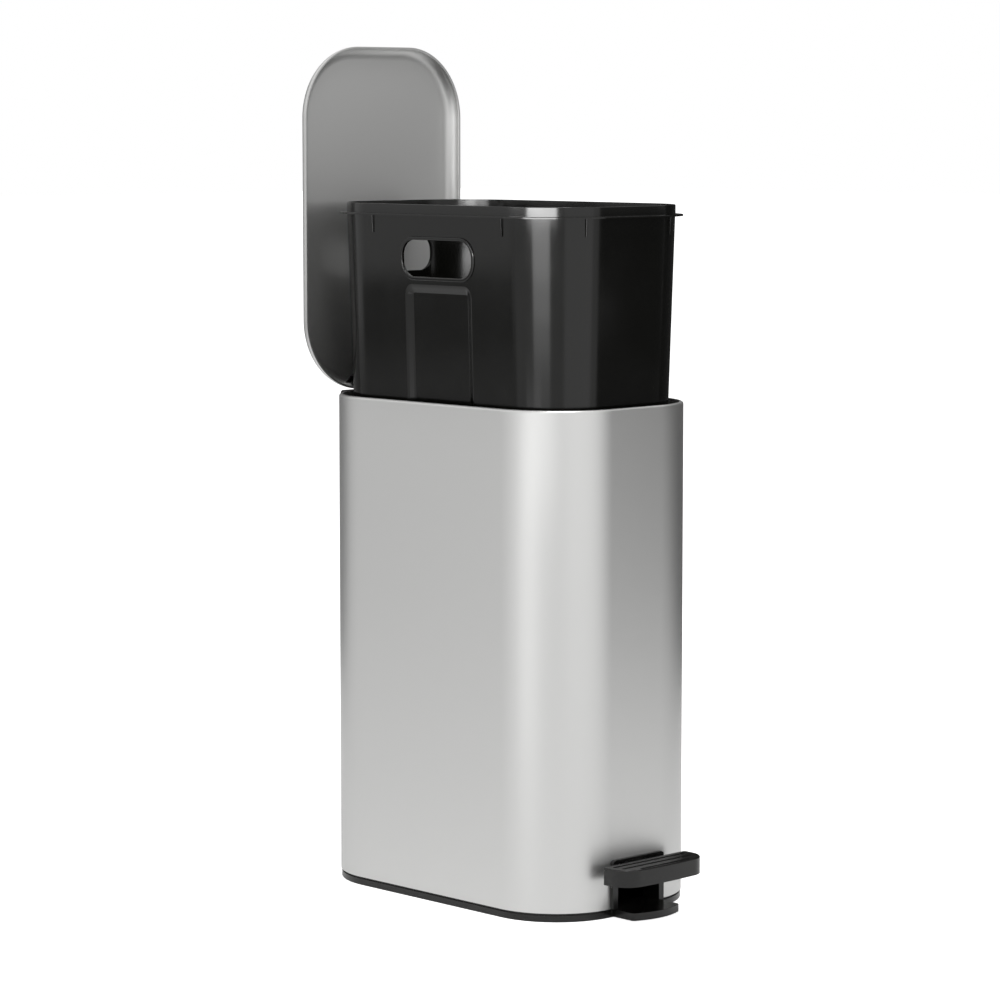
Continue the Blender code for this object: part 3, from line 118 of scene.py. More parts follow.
# Bucket: finger holes with their raised beads and flared edges.
HOLE_SHIFT = -0.0030
HOLE_DROP = 0.0488
REAR_HOLE_DROP = 0.0506
HOLE_WIDTH = 0.1150
HOLE_HEIGHT = 0.0424
HOLE_RADIUS = 0.0185
HOLE_FLARE = 0.0012
HOLE_START = 0.004
HOLE_REACH = 0.016
BEAD_WIDTH = 0.0042
BEAD_HEIGHT = 0.0018
BEAD_SINK = 0.0011
BEAD_ROUND = 0.0014
BEAD_STEPS = 5
BEAD_GAP_DROP = 0.10

# Bucket: thin webs under the flange.
WEB_HALF_WIDTH = 0.0010
WEB_SINK = 0.0026
WEB_REACH = 0.0024
WEB_DROP = 0.0205
WEB_OVERLAP = 0.0010
WEB_EDGE = 0.00025
WEB_TAPER = 0.0014
WEB_ALONG = 0.1075
WEB_BEARING = radians(20)

# Bucket: room at the back for the hinge block and the lid's bracket.
HINGE_HALF_WIDTH = 0.0560
HINGE_ROOM = 0.03
RIM_RELIEF = 0.0020
RIM_RELIEF_DROP = 0.0032

# Pedal surround.
SURROUND_HALF_WIDTH = 0.0392
SURROUND_TOP = 0.0643
SURROUND_RADIUS = 0.004
SURROUND_LIP = 0.0026
SURROUND_LIP_RADIUS = 0.0045
SURROUND_MOUTH = 0.0337
SURROUND_MOUTH_TOP = 0.0627
SURROUND_MOUTH_RADIUS = 0.003
SURROUND_FRONT = -0.2134
SURROUND_BACK = -0.1876
SURROUND_EDGE = 0.0007
SURROUND_STEPS = 6
ARCH_SPRING = 0.05
ARCH_STEPS = 5

# Pedal pad, and its grooves as (distance from the back, length, width).
PAD_TOP = 0.0645
PAD_HEIGHT = 0.0198
PAD_HALF_WIDTH = 0.0675
PAD_DEPTH = 0.0385
PAD_OFFSET = 0.0129
PAD_EDGE = 0.0016
PAD_EDGE_STEPS = 5
PAD_FRONT_RADIUS = 0.025
PAD_FRONT_STEPS = 14
PAD_BACK_RADIUS = 0.0035
PAD_BACK_STEPS = 5
PAD_BOW = 0.0015
PAD_BOW_STEPS = 6
PAD_SHELL = 0.0026
GROOVES = ((0.0100, 0.120, 0.0048), (0.0221, 0.116, 0.0048), (0.0350, 0.084, 0.0046))
GROOVE_END_STEPS = 6
GROOVE_START = 0.001
GROOVE_CUT = 0.0018
GROOVE_SLOPE = (0.0006, 0.0010)
PAD_MOUTH_HALF_WIDTH = 0.0116
PAD_MOUTH_DEPTH = 0.004
PAD_MOUTH_FOOT = 0.03
PAD_MOUTH_TOP = 0.0619

# Dark groove between the sleeve and the base ring, which stops at the step plate.
SHADOW_GROOVE_HEIGHT = 0.0022
SHADOW_GROOVE_CUT = 0.0024
SHADOW_GROOVE_OUT = 0.0020
SHADOW_GROOVE_IN = 0.0030
SHADOW_INNER_DROP = 0.0040
SHADOW_INNER_CUT = 0.0060
STEP_PLATE_LOW = (-0.0450, -0.3, 0)
STEP_PLATE_HIGH = (0.0450, -0.15, 0.02)

# Moulded pieces that stand for CAD nodes: node, name, body and eased edge.
MOULDED = (
    ("base_tray", "tray_moulding", "body", 0.0005),
    ("hinge_block", "hinge_housing", "body", 0.0005),
    ("lid_bracket", "bracket_moulding", "lid", 0.0004),
    ("rod_guide_lower", "rod_clip_lower", "body", 0.0005),
    ("rod_guide_upper", "rod_clip_upper", "body", 0.0005),
)
LEVER_EDGE = 0.0004

# CAD nodes that are carried over with a finish.
STEEL_NODES = (
    "axle_cap_left",
    "axle_cap_right",
    "hinge_pin",
    "lid_cross_pin",
    "hinge_screw_left",
    "hinge_screw_right",
    "lid_nut_left",
    "lid_nut_right",
    "lid_stud_left",
    "lid_stud_right",
    "pedal_axle",
    "pedal_screw_1",
    "pedal_screw_2",
    "push_rod",
)
RUBBER_NODES = ("rubber_foot_1", "rubber_foot_2", "rubber_foot_3", "rubber_foot_4")

# Soft boxes: name, place, aim, size and power.
SOFT_BOXES = (
    ("key_box", (-2.75, -1.10, 1.48), (0, 0, 0.8), (1.5, 1.3), 5),
    ("top_box", (-0.3, -0.6, 2.6), (0, 0, 0.4), (0.7, 0.7), 22),
)

# Groups of one piece each, for the strips that only light that piece.
LIT_PIECES = {
    "gloss_on_bucket": "bucket_shell",
    "glow_on_sleeve": "sleeve_skin",
    "glow_on_lid": "lid_pan",
}

# Strips: name, bearing from the left side in degrees (90 is the front), distance from the
# middle, lower and upper edge, width, level of light and group that they light.
STRIPS = (
    ("strip_1", 32, 0.485, 0.520, 0.575, 0.196, 0.7, "gloss_on_bucket"),
    ("strip_2", 32, 0.485, 0.575, 0.600, 0.196, 1.0, "gloss_on_bucket"),
    ("strip_3", 32, 0.485, 0.600, 0.640, 0.196, 1.6, "gloss_on_bucket"),
    ("strip_4", 32, 0.485, 0.640, 0.690, 0.196, 2.6, "gloss_on_bucket"),
    ("strip_5", 32, 0.485, 0.690, 0.735, 0.196, 3.9, "gloss_on_bucket"),
    ("strip_6", 32, 0.485, 0.735, 0.775, 0.196, 4.2, "gloss_on_bucket"),
    ("strip_7", 32, 0.485, 0.775, 0.830, 0.340, 22.0, "gloss_on_bucket"),
    ("rim_strip", 9, 0.415, 0.822, 0.842, 0.40, 18.0, "gloss_on_bucket"),
    ("corner_strip", 32, 0.485, 0.450, 0.640, 0.34, 0.42, "glow_on_sleeve"),
    ("wall_strip", -40, 0.69, 0.500, 0.680, 0.38, 0.30, "glow_on_sleeve"),
    ("hem_strip", 32, 0.485, 0.775, 0.830, 0.34, 3.5, "glow_on_lid"),
)

# Cards: as the strips, without a group.
CARDS = (
    ("corner_card", 10, 1.1, 0.0, 0.47, 0.50, 1.50),
    ("front_card", 82, 2.2, 0.0, 1.6, 1.9, 1.20),
    ("front_flag_high", 134, 1.3, 0.68, 1.8, 0.86, 0.50),
    ("front_flag_upper", 134, 1.3, 0.55, 0.68, 0.86, 0.38),
    ("front_flag_middle", 134, 1.3, 0.38, 0.55, 0.86, 0.10),
    ("rim_flag", 124, 1.26, 0.60, 0.81, 0.44, 0.08),
    ("front_flag_low", 134, 1.3, 0.08, 0.38, 0.86, 0.34),
    ("right_flag", 190, 1.3, 0.05, 1.6, 2.3, 0.04),
    ("back_flag", 259, 1.5, 0.05, 1.6, 1.6, 0.14),
    ("left_flag", -51, 3.0, 0.06, 0.40, 2.5, 0.34),
    ("wall_flag", -40, 0.69, 0.568, 0.675, 0.38, 0.22),
    ("edge_flag", 131, 0.567, 0.58, 0.80, 0.22, 0.07),
)

# Floor, surroundings and camera.
FLOOR_SIZE = 60
FLOOR_LIFT = 0.30
FLOOR_LIFT_IN_VIEW = 0.60
WORLD_LEVEL = 0.45
CAMERA_PLACE = (-2.8890, -2.9814, 0.9061)
CAMERA_TURN = (radians(90 - 6.151), 0, radians(-43.955))
CAMERA_LENS = 128.2
CAMERA_SENSOR = 36.0
CAMERA_REACH = 100.0


def length(name, description, default):
    """A size in metres for the sidebar."""
    return FloatProperty(
        name=name, description=description, default=default, min=0.0, precision=4, unit="LENGTH"
    )


def colour(name, description, default):
    """A colour for the sidebar."""
    return FloatVectorProperty(
        name=name,
        description=description,
        default=default,
        size=3,
        min=0.0,
        max=1.0,
        subtype="COLOR",
    )


class StepCanSizes(PropertyGroup):
    """Sizes of the can that its pieces share."""

    body_width: length("Body width", "Width of the sleeve", 0.2588)
    body_depth: length("Body depth", "Length of the sleeve, front to back", 0.4172)
    corner_radius: length("Corner radius", "Outer radius of the sleeve's corners", 0.0891)
    rim_height: length("Rim height", "Height of the sleeve's rim", 0.5800)
    sleeve_foot: length("Sleeve foot", "Height at which the sleeve starts", 0.0103)
    sleeve_wall: length("Sheet thickness", "Thickness of the steel sheet", 0.0008)
    rim_roll: length("Rim roll", "Radius of the rolled rim", 0.0030)
    rim_lip: length("Rim lip", "How far the rim turns in", 0.0045)
    rim_hem: length("Rim hem", "How far the rim turns down inside", 0.0060)
    bucket_lift: length("Bucket lift", "How far the bucket is raised from its seat", 0.2125)
    bucket_inset: length("Bucket inset", "Bucket wall behind the sleeve's outline", 0.0106)
    bucket_wall: length("Bucket wall", "Thickness of the bucket's wall", 0.0022)
    bucket_floor: length("Bucket floor", "Height of the seated bucket's floor", 0.0640)
    flange_thickness: length("Flange", "Thickness of the flange under the rim", 0.0020)
    flange_inset: length("Flange inset", "Flange edge behind the sleeve's outline", 0.0014)
    bucket_rim_inset: length("Rim inset", "Bucket rim behind the sleeve's outline", 0.0102)
    bucket_rim: length("Bucket rim", "Height of the rim above the flange", 0.0110)
    lid_inset: length("Lid inset", "Lid edge behind the sleeve's outline", 0.0044)
    lid_height: length("Lid height", "Depth of the lid's pan", 0.0150)
    lid_edge: length("Lid edge", "Radius of the lid's outer edge", 0.0120)
    hinge_y: length("Hinge, back", "Hinge axis behind the middle", 0.2082)
    hinge_z: length("Hinge, height", "Height of the hinge axis", 0.5761)
    base_height: length("Base height", "Height of the base ring", 0.0100)


class StepCanColours(PropertyGroup):
    """Colours of the can's finishes."""

    steel: colour("Brushed steel", "Sleeve and lid", (0.655, 0.655, 0.65))
    plated_steel: colour("Plated steel", "Fasteners and linkage", (0.50, 0.50, 0.48))
    bucket_black: colour("Bucket black", "Satin plastic of the bucket", (0.0040, 0.0040, 0.0032))
    base_black: colour("Base black", "Moulded plastic of base and pedal", (0.0075, 0.0073, 0.0066))
    rubber_black: colour("Rubber", "Rubber pads", (0.015, 0.015, 0.015))
    floor_white: colour("Floor", "Studio floor", (0.95, 0.95, 0.95))


def deselect_all():
    """Leaves edit mode with nothing selected."""
    if bpy.context.object and bpy.context.object.mode != "OBJECT":
        bpy.ops.object.mode_set(mode="OBJECT")
    bpy.ops.object.select_all(action="DESELECT")


def activate(piece):
    """Selects one piece alone."""
    deselect_all()
    piece.select_set(True)
    bpy.context.view_layer.objects.active = piece


def edit(piece, mode="FACE"):
    """Opens one piece in edit mode with nothing selected."""
    activate(piece)
    bpy.ops.object.mode_set(mode="EDIT")
    bpy.ops.mesh.select_mode(type=mode)
    bpy.ops.mesh.select_all(action="DESELECT")


def pick(piece, kind, test):
    """Selects the points, edges or faces that pass a test, in edit mode."""
    bpy.ops.mesh.select_mode(type=kind)
    bpy.ops.mesh.select_all(action="DESELECT")
    mesh = bmesh.from_edit_mesh(piece.data)
    for part in {"VERT": mesh.verts, "EDGE": mesh.edges, "FACE": mesh.faces}[kind]:
        if test(part):
            part.select_set(True)
    bmesh.update_edit_mesh(piece.data)


def pick_points(piece, test):
    """Picks points by their place."""
    pick(piece, "VERT", lambda point: test(point.co))


def pick_edges(piece, test):
    """Picks edges by the places of their two ends."""
    pick(piece, "EDGE", lambda edge: test(edge.verts[0].co, edge.verts[1].co))


def pick_faces(piece, test):
    """Picks faces by their centre and normal."""
    pick(piece, "FACE", lambda face: test(face.calc_center_median(), face.normal))


def shift_points(piece, test, vector):
    """Moves the points that pass a test along a vector."""
    edit(piece, "VERT")
    pick_points(piece, test)
    bpy.ops.transform.translate(value=vector)
    bpy.ops.object.mode_set(mode="OBJECT")


def is_end(centre, normal):
    """Tells whether a face is level and lies across the can's upright axis."""
    return abs(normal.z) > FACING and abs(centre.x) + abs(centre.y) < AXIS_REACH


def is_arch_corner(a, b):
    """Tells whether an edge runs front to back along the top of the pedal's opening."""
    return min(a.z, b.z) > ARCH_SPRING and abs(a.x - b.x) < CLOSE and abs(a.z - b.z) < CLOSE


def settle(piece):
    """Puts a piece's place, turn and size in its mesh."""
    activate(piece)
    bpy.ops.object.transform_apply(location=True, rotation=True, scale=True)


def new_piece(name):
    """Names the object that was just added, and its mesh."""
    piece = bpy.context.object
    piece.name = name
    piece.data.name = name
    return piece


def outline_face(name, width, depth, radius, place, segments, turn=(0, 0, 0)):
    """Adds a flat face with rounded corners and leaves it picked in edit mode."""
    deselect_all()
    bpy.ops.mesh.primitive_plane_add(size=1)
    piece = new_piece(name)
    piece.scale = (width, depth, 1)
    settle(piece)
    if radius:
        edit(piece, "VERT")
        bpy.ops.mesh.select_all(action="SELECT")
        bpy.ops.mesh.bevel(
            offset=radius, segments=segments, affect="VERTICES", clamp_overlap=False
        )
        bpy.ops.object.mode_set(mode="OBJECT")
    piece.rotation_euler = turn
    piece.location = place
    settle(piece)
    edit(piece)
    bpy.ops.mesh.select_all(action="SELECT")
    return piece


def plan_face(name, sizes, margin, z):
    """The sleeve's plan, drawn in by a margin, as one picked face that looks up."""
    return outline_face(
        name,
        sizes.body_width - 2 * margin,
        sizes.body_depth - 2 * margin,
        sizes.corner_radius - margin,
        (0, 0, z),
        CORNER_SEGMENTS,
    )


def extrude(vector):
    """Extrudes the picked face along a vector."""
    bpy.ops.mesh.extrude_region_move(TRANSFORM_OT_translate={"value": tuple(vector)})


def inset(thickness, depth=0.0):
    """Draws the picked face in, and moves the new face along its normal."""
    bpy.ops.mesh.inset(thickness=thickness, depth=depth, use_even_offset=True)


def round_over(radius, steps=ROUND_STEPS, rise=None):
    """Rounds the picked face's rim, from the wall over to the flat."""
    rise = rise or radius
    for step in range(steps):
        start, end = (pi / 2 * (step + near) / steps for near in (0, 1))
        inset(radius * (cos(start) - cos(end)), rise * (sin(end) - sin(start)))


def round_into(radius, steps):
    """Flares the picked face in, from the flat down to the wall."""
    for step in range(steps):
        start, end = (pi / 2 * (step + near) / steps for near in (0, 1))
        inset(radius * (sin(end) - sin(start)), radius * (cos(start) - cos(end)))


def face_outwards(piece):
    """Turns every face of a shape outwards."""
    edit(piece)
    bpy.ops.mesh.select_all(action="SELECT")
    bpy.ops.mesh.normals_make_consistent(inside=False)
    bpy.ops.object.mode_set(mode="OBJECT")


def pick_facing(piece, direction):
    """Turns a closed shape's faces outwards and picks those that look along a direction."""
    face_outwards(piece)
    edit(piece)
    pick_faces(piece, lambda centre, normal: normal.dot(direction) > FACING)


def apply_modifier(piece, kind, **settings):
    """Adds one modifier and applies it."""
    activate(piece)
    modifier = piece.modifiers.new(kind.title(), kind)
    for key, value in settings.items():
        setattr(modifier, key, value)
    bpy.ops.object.modifier_apply(modifier=modifier.name)


def open_sheet(piece, test, thickness):
    """Removes the faces that pass a test and makes a sheet of those that are left."""
    pick_faces(piece, test)
    bpy.ops.mesh.delete(type="FACE")
    face_outwards(piece)
    apply_modifier(piece, "SOLIDIFY", thickness=thickness, offset=-1.0, use_even_offset=True)


def combine(piece, other, operation):
    """Cuts another shape from a piece, or joins it on, and removes that shape."""
    apply_modifier(piece, "BOOLEAN", object=other, operation=operation, solver="EXACT")
    bpy.data.objects.remove(other, do_unlink=True)


def block(name, low, high, radius=0.0, segments=3, edges=None):
    """A block between two corners, with the chosen edges bevelled."""
    deselect_all()
    middle = [(a + b) / 2 for a, b in zip(low, high)]
    bpy.ops.mesh.primitive_cube_add(size=1, location=middle)
    piece = new_piece(name)
    piece.scale = [b - a for a, b in zip(low, high)]
    settle(piece)
    if radius:
        edit(piece, "EDGE")
        pick_edges(piece, edges or (lambda a, b: True))
        bpy.ops.mesh.bevel(offset=radius, segments=segments, affect="EDGES", clamp_overlap=True)
        bpy.ops.object.mode_set(mode="OBJECT")
    return piece


def soften(piece, width, angle, segments=2):
    """Bevels the sharp edges of a moulded piece."""
    apply_modifier(
        piece,
        "BEVEL",
        width=width,
        segments=segments,
        limit_method="ANGLE",
        angle_limit=radians(angle),
    )


def finish_piece(piece, body, nodes, material, angle=32):
    """Shades, dresses and seats a finished piece on its CAD body."""
    settle(piece)
    bpy.ops.object.shade_smooth_by_angle(angle=radians(angle))
    apply_modifier(piece, "WEIGHTED_NORMAL", keep_sharp=True)
    piece.data.materials.clear()
    piece.data.materials.append(material)
    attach(piece, body)
    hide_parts(*nodes)


def copy_node(node, name):
    """A copy of a CAD node with its doubled points merged. The node stays as it is."""
    activate(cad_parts[node])
    bpy.ops.object.duplicate()
    piece = new_piece(name)
    edit(piece, "VERT")
    bpy.ops.mesh.select_all(action="SELECT")
    bpy.ops.mesh.remove_doubles(threshold=CLOSE)
    bpy.ops.object.mode_set(mode="OBJECT")
    return piece


def eased_copy(node, name, body, material, width, cutter=None):
    """Stands for a CAD node: its copy with flats joined and edges eased."""
    piece = copy_node(node, name)
    apply_modifier(piece, "DECIMATE", decimate_type="DISSOLVE", angle_limit=radians(1))
    if cutter:
        combine(piece, cutter, "DIFFERENCE")
    soften(piece, width, angle=35)
    finish_piece(piece, body, [node], material)


def dress_node(name, material):
    """Gives a carried-over CAD node its finish."""
    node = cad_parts[name]
    node.data.materials.clear()
    node.data.materials.append(material)


def new_material(name, base, roughness, metallic=0.0):
    """A Principled material, its nodes and its shader, or the material alone if it is there."""
    material = bpy.data.materials.get(name)
    if material:
        return material, None, None
    material = bpy.data.materials.new(name)
    material.use_nodes = True
    tree = material.node_tree
    shader = tree.nodes["Principled BSDF"]
    shader.inputs["Base Color"].default_value = (*base, 1.0)
    shader.inputs["Roughness"].default_value = roughness
    shader.inputs["Metallic"].default_value = metallic
    return material, tree, shader


def grain(tree, scale, noise_scale=1.0, detail=2.0, roughness=0.5):
    """Noise on Object coordinates, stretched by a scale for each axis."""
    place = tree.nodes.new("ShaderNodeTexCoord")
    mapping = tree.nodes.new("ShaderNodeMapping")
    mapping.inputs["Scale"].default_value = scale
    noise = tree.nodes.new("ShaderNodeTexNoise")
    noise.inputs["Scale"].default_value = noise_scale
    noise.inputs["Detail"].default_value = detail
    noise.inputs["Roughness"].default_value = roughness
    tree.links.new(place.outputs["Object"], mapping.inputs["Vector"])
    tree.links.new(mapping.outputs["Vector"], noise.inputs["Vector"])
    return noise.outputs["Fac"]


def spread(tree, value, low, high):
    """Maps noise from its middle range to a range of values."""
    ranged = tree.nodes.new("ShaderNodeMapRange")
    ranged.inputs["From Min"].default_value = 0.3
    ranged.inputs["From Max"].default_value = 0.7
    ranged.inputs["To Min"].default_value = low
    ranged.inputs["To Max"].default_value = high
    tree.links.new(value, ranged.inputs["Value"])
    return ranged.outputs["Result"]


def tint(tree, value, base, low, high):
    """A base colour that noise makes darker or lighter."""
    mix = tree.nodes.new("ShaderNodeMix")
    mix.data_type = "RGBA"
    mix.inputs["A"].default_value = (*[channel * low for channel in base], 1.0)
    mix.inputs["B"].default_value = (*[channel * high for channel in base], 1.0)
    tree.links.new(value, mix.inputs["Factor"])
    return mix.outputs["Result"]


def relief(tree, shader, value, strength, distance):
    """A bump from noise."""
    bump = tree.nodes.new("ShaderNodeBump")
    bump.inputs["Strength"].default_value = strength
    bump.inputs["Distance"].default_value = distance
    tree.links.new(value, bump.inputs["Height"])
    tree.links.new(bump.outputs["Normal"], shader.inputs["Normal"])


def drive(tree, shader, base, noise, roughness, shade, bump, rough_noise=None):
    """Drives a shader's roughness, colour and relief from noise."""
    tree.links.new(spread(tree, rough_noise or noise, *roughness), shader.inputs["Roughness"])
    tree.links.new(tint(tree, spread(tree, noise, 0, 1), base, *shade), shader.inputs["Base Color"])
    relief(tree, shader, noise, *bump)


def brushed_steel():
    """Steel sheet with fine upright brushing, which spreads highlights sideways."""
    base = bpy.context.scene.can_colours.steel
    material, tree, shader = new_material("brushed_steel", base, 0.31, 1.0)
    if tree:
        shader.inputs["Anisotropic"].default_value = 0.75
        tangent = tree.nodes.new("ShaderNodeTangent")
        tangent.direction_type = "RADIAL"
        tangent.axis = "Z"
        tree.links.new(tangent.outputs["Tangent"], shader.inputs["Tangent"])
        streaks = grain(tree, (900, 900, 9), 1.0, 3.0, 0.6)
        drive(tree, shader, base, streaks, (0.27, 0.35), (0.95, 1.04), (0.15, 0.0001))
    return material


def plated_steel():
    """Zinc-plated steel, slightly mottled."""
    base = bpy.context.scene.can_colours.plated_steel
    material, tree, shader = new_material("plated_steel", base, 0.36, 1.0)
    if tree:
        mottle = grain(tree, (1, 1, 1), 260.0, 3.0)
        drive(tree, shader, base, mottle, (0.28, 0.44), (0.88, 1.06), (0.12, 0.0001))
    return material


def bucket_plastic():
    """Satin black plastic with a very fine moulded grain."""
    base = bpy.context.scene.can_colours.bucket_black
    material, tree, shader = new_material("bucket_plastic", base, 0.20)
    if tree:
        shader.inputs["Specular IOR Level"].default_value = 0.4
        fine = grain(tree, (1, 1, 1), 1400.0, 2.0)
        cloudy = grain(tree, (1, 1, 1), 24.0, 2.0)
        drive(tree, shader, base, fine, (0.14, 0.19), (0.85, 1.15), (0.10, 0.0001), cloudy)
    return material


def base_plastic():
    """Black moulded plastic of the base, pedal and hinge, with a light sheen."""
    base = bpy.context.scene.can_colours.base_black
    material, tree, shader = new_material("base_plastic", base, 0.24)
    if tree:
        shader.inputs["Specular IOR Level"].default_value = 0.4
        fine = grain(tree, (1, 1, 1), 1100.0, 2.0)
        drive(tree, shader, base, fine, (0.20, 0.28), (0.8, 1.2), (0.16, 0.0001))
    return material


def black_rubber():
    """Matt black rubber with a dusty grain."""
    base = bpy.context.scene.can_colours.rubber_black
    material, tree, shader = new_material("black_rubber", base, 0.8)
    if tree:
        dust = grain(tree, (1, 1, 1), 800.0, 3.0)
        drive(tree, shader, base, dust, (0.7, 0.9), (0.8, 1.3), (0.3, 0.0002))
    return material


class STEPCAN_OT_sleeve(Operator):
    """Model the brushed steel sleeve with its rolled rim"""

    bl_idname = "step_can.sleeve"
    bl_label = "Steel sleeve"

    def execute(self, context):
        sizes = context.scene.can_sizes
        half_depth = sizes.body_depth / 2
        sleeve = plan_face("sleeve_skin", sizes, 0.0, sizes.sleeve_foot)
        extrude(UP * (sizes.rim_height - sizes.rim_roll - sizes.sleeve_foot))
        round_over(sizes.rim_roll)
        inset(sizes.rim_lip - sizes.rim_roll)
        extrude(-UP * sizes.rim_hem)
        open_sheet(sleeve, is_end, sizes.sleeve_wall)
        arch = block(
            "arch",
            (-SURROUND_HALF_WIDTH - SEAT_GAP, -half_depth - OVERRUN, -OVERRUN),
            (SURROUND_HALF_WIDTH + SEAT_GAP, -half_depth + CUT_REACH, SURROUND_TOP + SEAT_GAP),
            SURROUND_RADIUS,
            ARCH_STEPS,
            is_arch_corner,
        )
        combine(sleeve, arch, "DIFFERENCE")
        notch = block(
            "notch",
            (
                -SLEEVE_NOTCH_HALF_WIDTH,
                half_depth - CUT_REACH,
                sizes.rim_height - SLEEVE_NOTCH_DROP,
            ),
            (SLEEVE_NOTCH_HALF_WIDTH, half_depth + OVERRUN, sizes.rim_height + OVERRUN),
        )
        combine(sleeve, notch, "DIFFERENCE")
        finish_piece(sleeve, "body", ["outer_sleeve"], brushed_steel())
        return {"FINISHED"}


class STEPCAN_OT_lid(Operator):
    """Model the open lid: a stamped pan with a folded hem"""

    bl_idname = "step_can.lid"
    bl_label = "Steel lid"

    def execute(self, context):
        sizes = context.scene.can_sizes
        rim_z = sizes.rim_height + LID_GAP
        lid = plan_face("lid_pan", sizes, sizes.lid_inset, rim_z)
        extrude(UP * (sizes.lid_height - sizes.lid_edge))
        round_over(sizes.lid_edge * LID_ROUND_SPREAD, LID_ROUND_STEPS, sizes.lid_edge)

        def is_foot(centre, normal):
            return abs(normal.z) > FACING and centre.z < rim_z + NEAR

        open_sheet(lid, is_foot, sizes.sleeve_wall)
        hem = plan_face("hem", sizes, sizes.lid_inset, rim_z)
        extrude(UP * HEM_HEIGHT)
        open_sheet(hem, is_end, HEM_THICKNESS)
        soften(hem, HEM_EDGE, angle=40, segments=4)
        combine(lid, hem, "UNION")
        turn_lid(lid, sizes)
        finish_piece(lid, "lid", ["lid_shell"], brushed_steel())
        return {"FINISHED"}


def turn_lid(piece, sizes):
    """Turns a piece that was modelled on the shut lid to where the open lid stands."""
    activate(piece)
    bpy.ops.transform.rotate(
        value=radians(90),
        orient_axis="X",
        orient_type="GLOBAL",
        center_override=(0, sizes.hinge_y, sizes.hinge_z),
    )
    settle(piece)


def flange_level(sizes):
    """The height of the lifted bucket's flange."""
    return sizes.rim_height + SEAT_GAP + sizes.bucket_lift


def floor_level(sizes):
    """The height of the lifted bucket's floor."""
    return sizes.bucket_floor + sizes.bucket_lift


def wall_place(sizes, side, along, drop):
    """A point on the leaning wall of a long side (-1, 1), or of the back (0)."""
    reach = sizes.bucket_inset + drop * TAPER
    z = flange_level(sizes) - drop
    if side:
        return Vector((side * (sizes.body_width / 2 - reach), along, z))
    return Vector((along, sizes.body_depth / 2 - reach, z))


def outward(side):
    """The normal of a leaning wall."""
    if side:
        return Vector((side * cos(LEAN), 0, -sin(LEAN)))
    return Vector((0, cos(LEAN), -sin(LEAN)))


def wall_turn(side):
    """The turn that makes a flat face look out of a leaning wall."""
    if side:
        return (0, side * (pi / 2 + LEAN), 0)
    return (-(pi / 2 + LEAN), 0, 0)


def bucket_outside(sizes):
    """The bucket without its hollow: rim, flange, leaning wall and rounded foot."""
    run = flange_level(sizes) - floor_level(sizes) - FOOT_RADIUS
    bucket = plan_face("bucket_shell", sizes, sizes.flange_inset, flange_level(sizes))
    extrude(UP * (sizes.flange_thickness - FLANGE_EDGE))
    round_over(FLANGE_EDGE, steps=2)
    inset(sizes.bucket_rim_inset - sizes.flange_inset - FLANGE_EDGE)
    extrude(UP * (sizes.bucket_rim - RIM_EDGE))
    round_over(RIM_EDGE, steps=3)
    pick_facing(bucket, -UP)
    inset(sizes.bucket_inset - sizes.flange_inset)
    inset(run * TAPER, run)
    round_over(FOOT_RADIUS)
    face_outwards(bucket)
    return bucket


def bucket_inside(sizes):
    """The shape of the bucket's hollow."""
    run = flange_level(sizes) - floor_level(sizes) - FOOT_RADIUS
    core = plan_face(
        "core",
        sizes,
        sizes.bucket_rim_inset + sizes.bucket_wall - CORE_RISE * TAPER,
        flange_level(sizes) + CORE_RISE,
    )
    extrude(UP * CORE_CAP)
    pick_facing(core, -UP)
    inset(CORE_RISE * TAPER, CORE_RISE)
    inset(sizes.bucket_inset - sizes.bucket_rim_inset + run * TAPER, run)
    round_over(FOOT_RADIUS - sizes.bucket_wall)
    face_outwards(core)
    return core


def panel_cutter(sizes, side, extra):
    """A tapered block with rounded upper corners that presses a panel into a long side."""
    inward = -outward(side)
    half_height = (flange_level(sizes) - floor_level(sizes) - PANEL_DROP + OVERRUN) / 2
    place = wall_place(sizes, side, HOLE_SHIFT, PANEL_DROP + half_height) - inward * PANEL_START
    cutter = outline_face(
        "panel",
        2 * (half_height + extra),
        2 * (PANEL_HALF_WIDTH + extra),
        PANEL_RADIUS,
        place,
        SMALL_CORNER_SEGMENTS,
        wall_turn(side),
    )
    extrude(inward * (PANEL_START + extra))
    pick_facing(cutter, inward)
    for share in PANEL_PROFILE:
        inset(PANEL_STEP, share * PANEL_DEPTH)
    face_outwards(cutter)
    deep = place + inward * (PANEL_START + extra + PANEL_DEPTH)
    down = Vector((-side * sin(LEAN), 0, -cos(LEAN)))
    shift_points(
        cutter,
        lambda point: (point - deep).dot(inward) > -NEAR and point.z > place.z,
        down * PANEL_TOP_RUN,
    )
    return cutter


def channel_cutter(sizes, extra):
    """A block for the push rod's channel, with a front that leans with the wall."""
    rear = sizes.body_depth / 2
    flange_z = flange_level(sizes)
    channel = block(
        "channel",
        (
            -CHANNEL_HALF_WIDTH - extra,
            rear - CHANNEL_INSET - CHANNEL_DEPTH - CHANNEL_LEAN - extra,
            floor_level(sizes) - OVERRUN,
        ),
        (
            CHANNEL_HALF_WIDTH + extra,
            rear + OVERRUN,
            flange_z + sizes.flange_thickness + CORE_RISE,
        ),
    )
    shift_points(
        channel, lambda point: point.y < rear and point.z > flange_z, (0, CHANNEL_LEAN, 0)
    )
    return channel


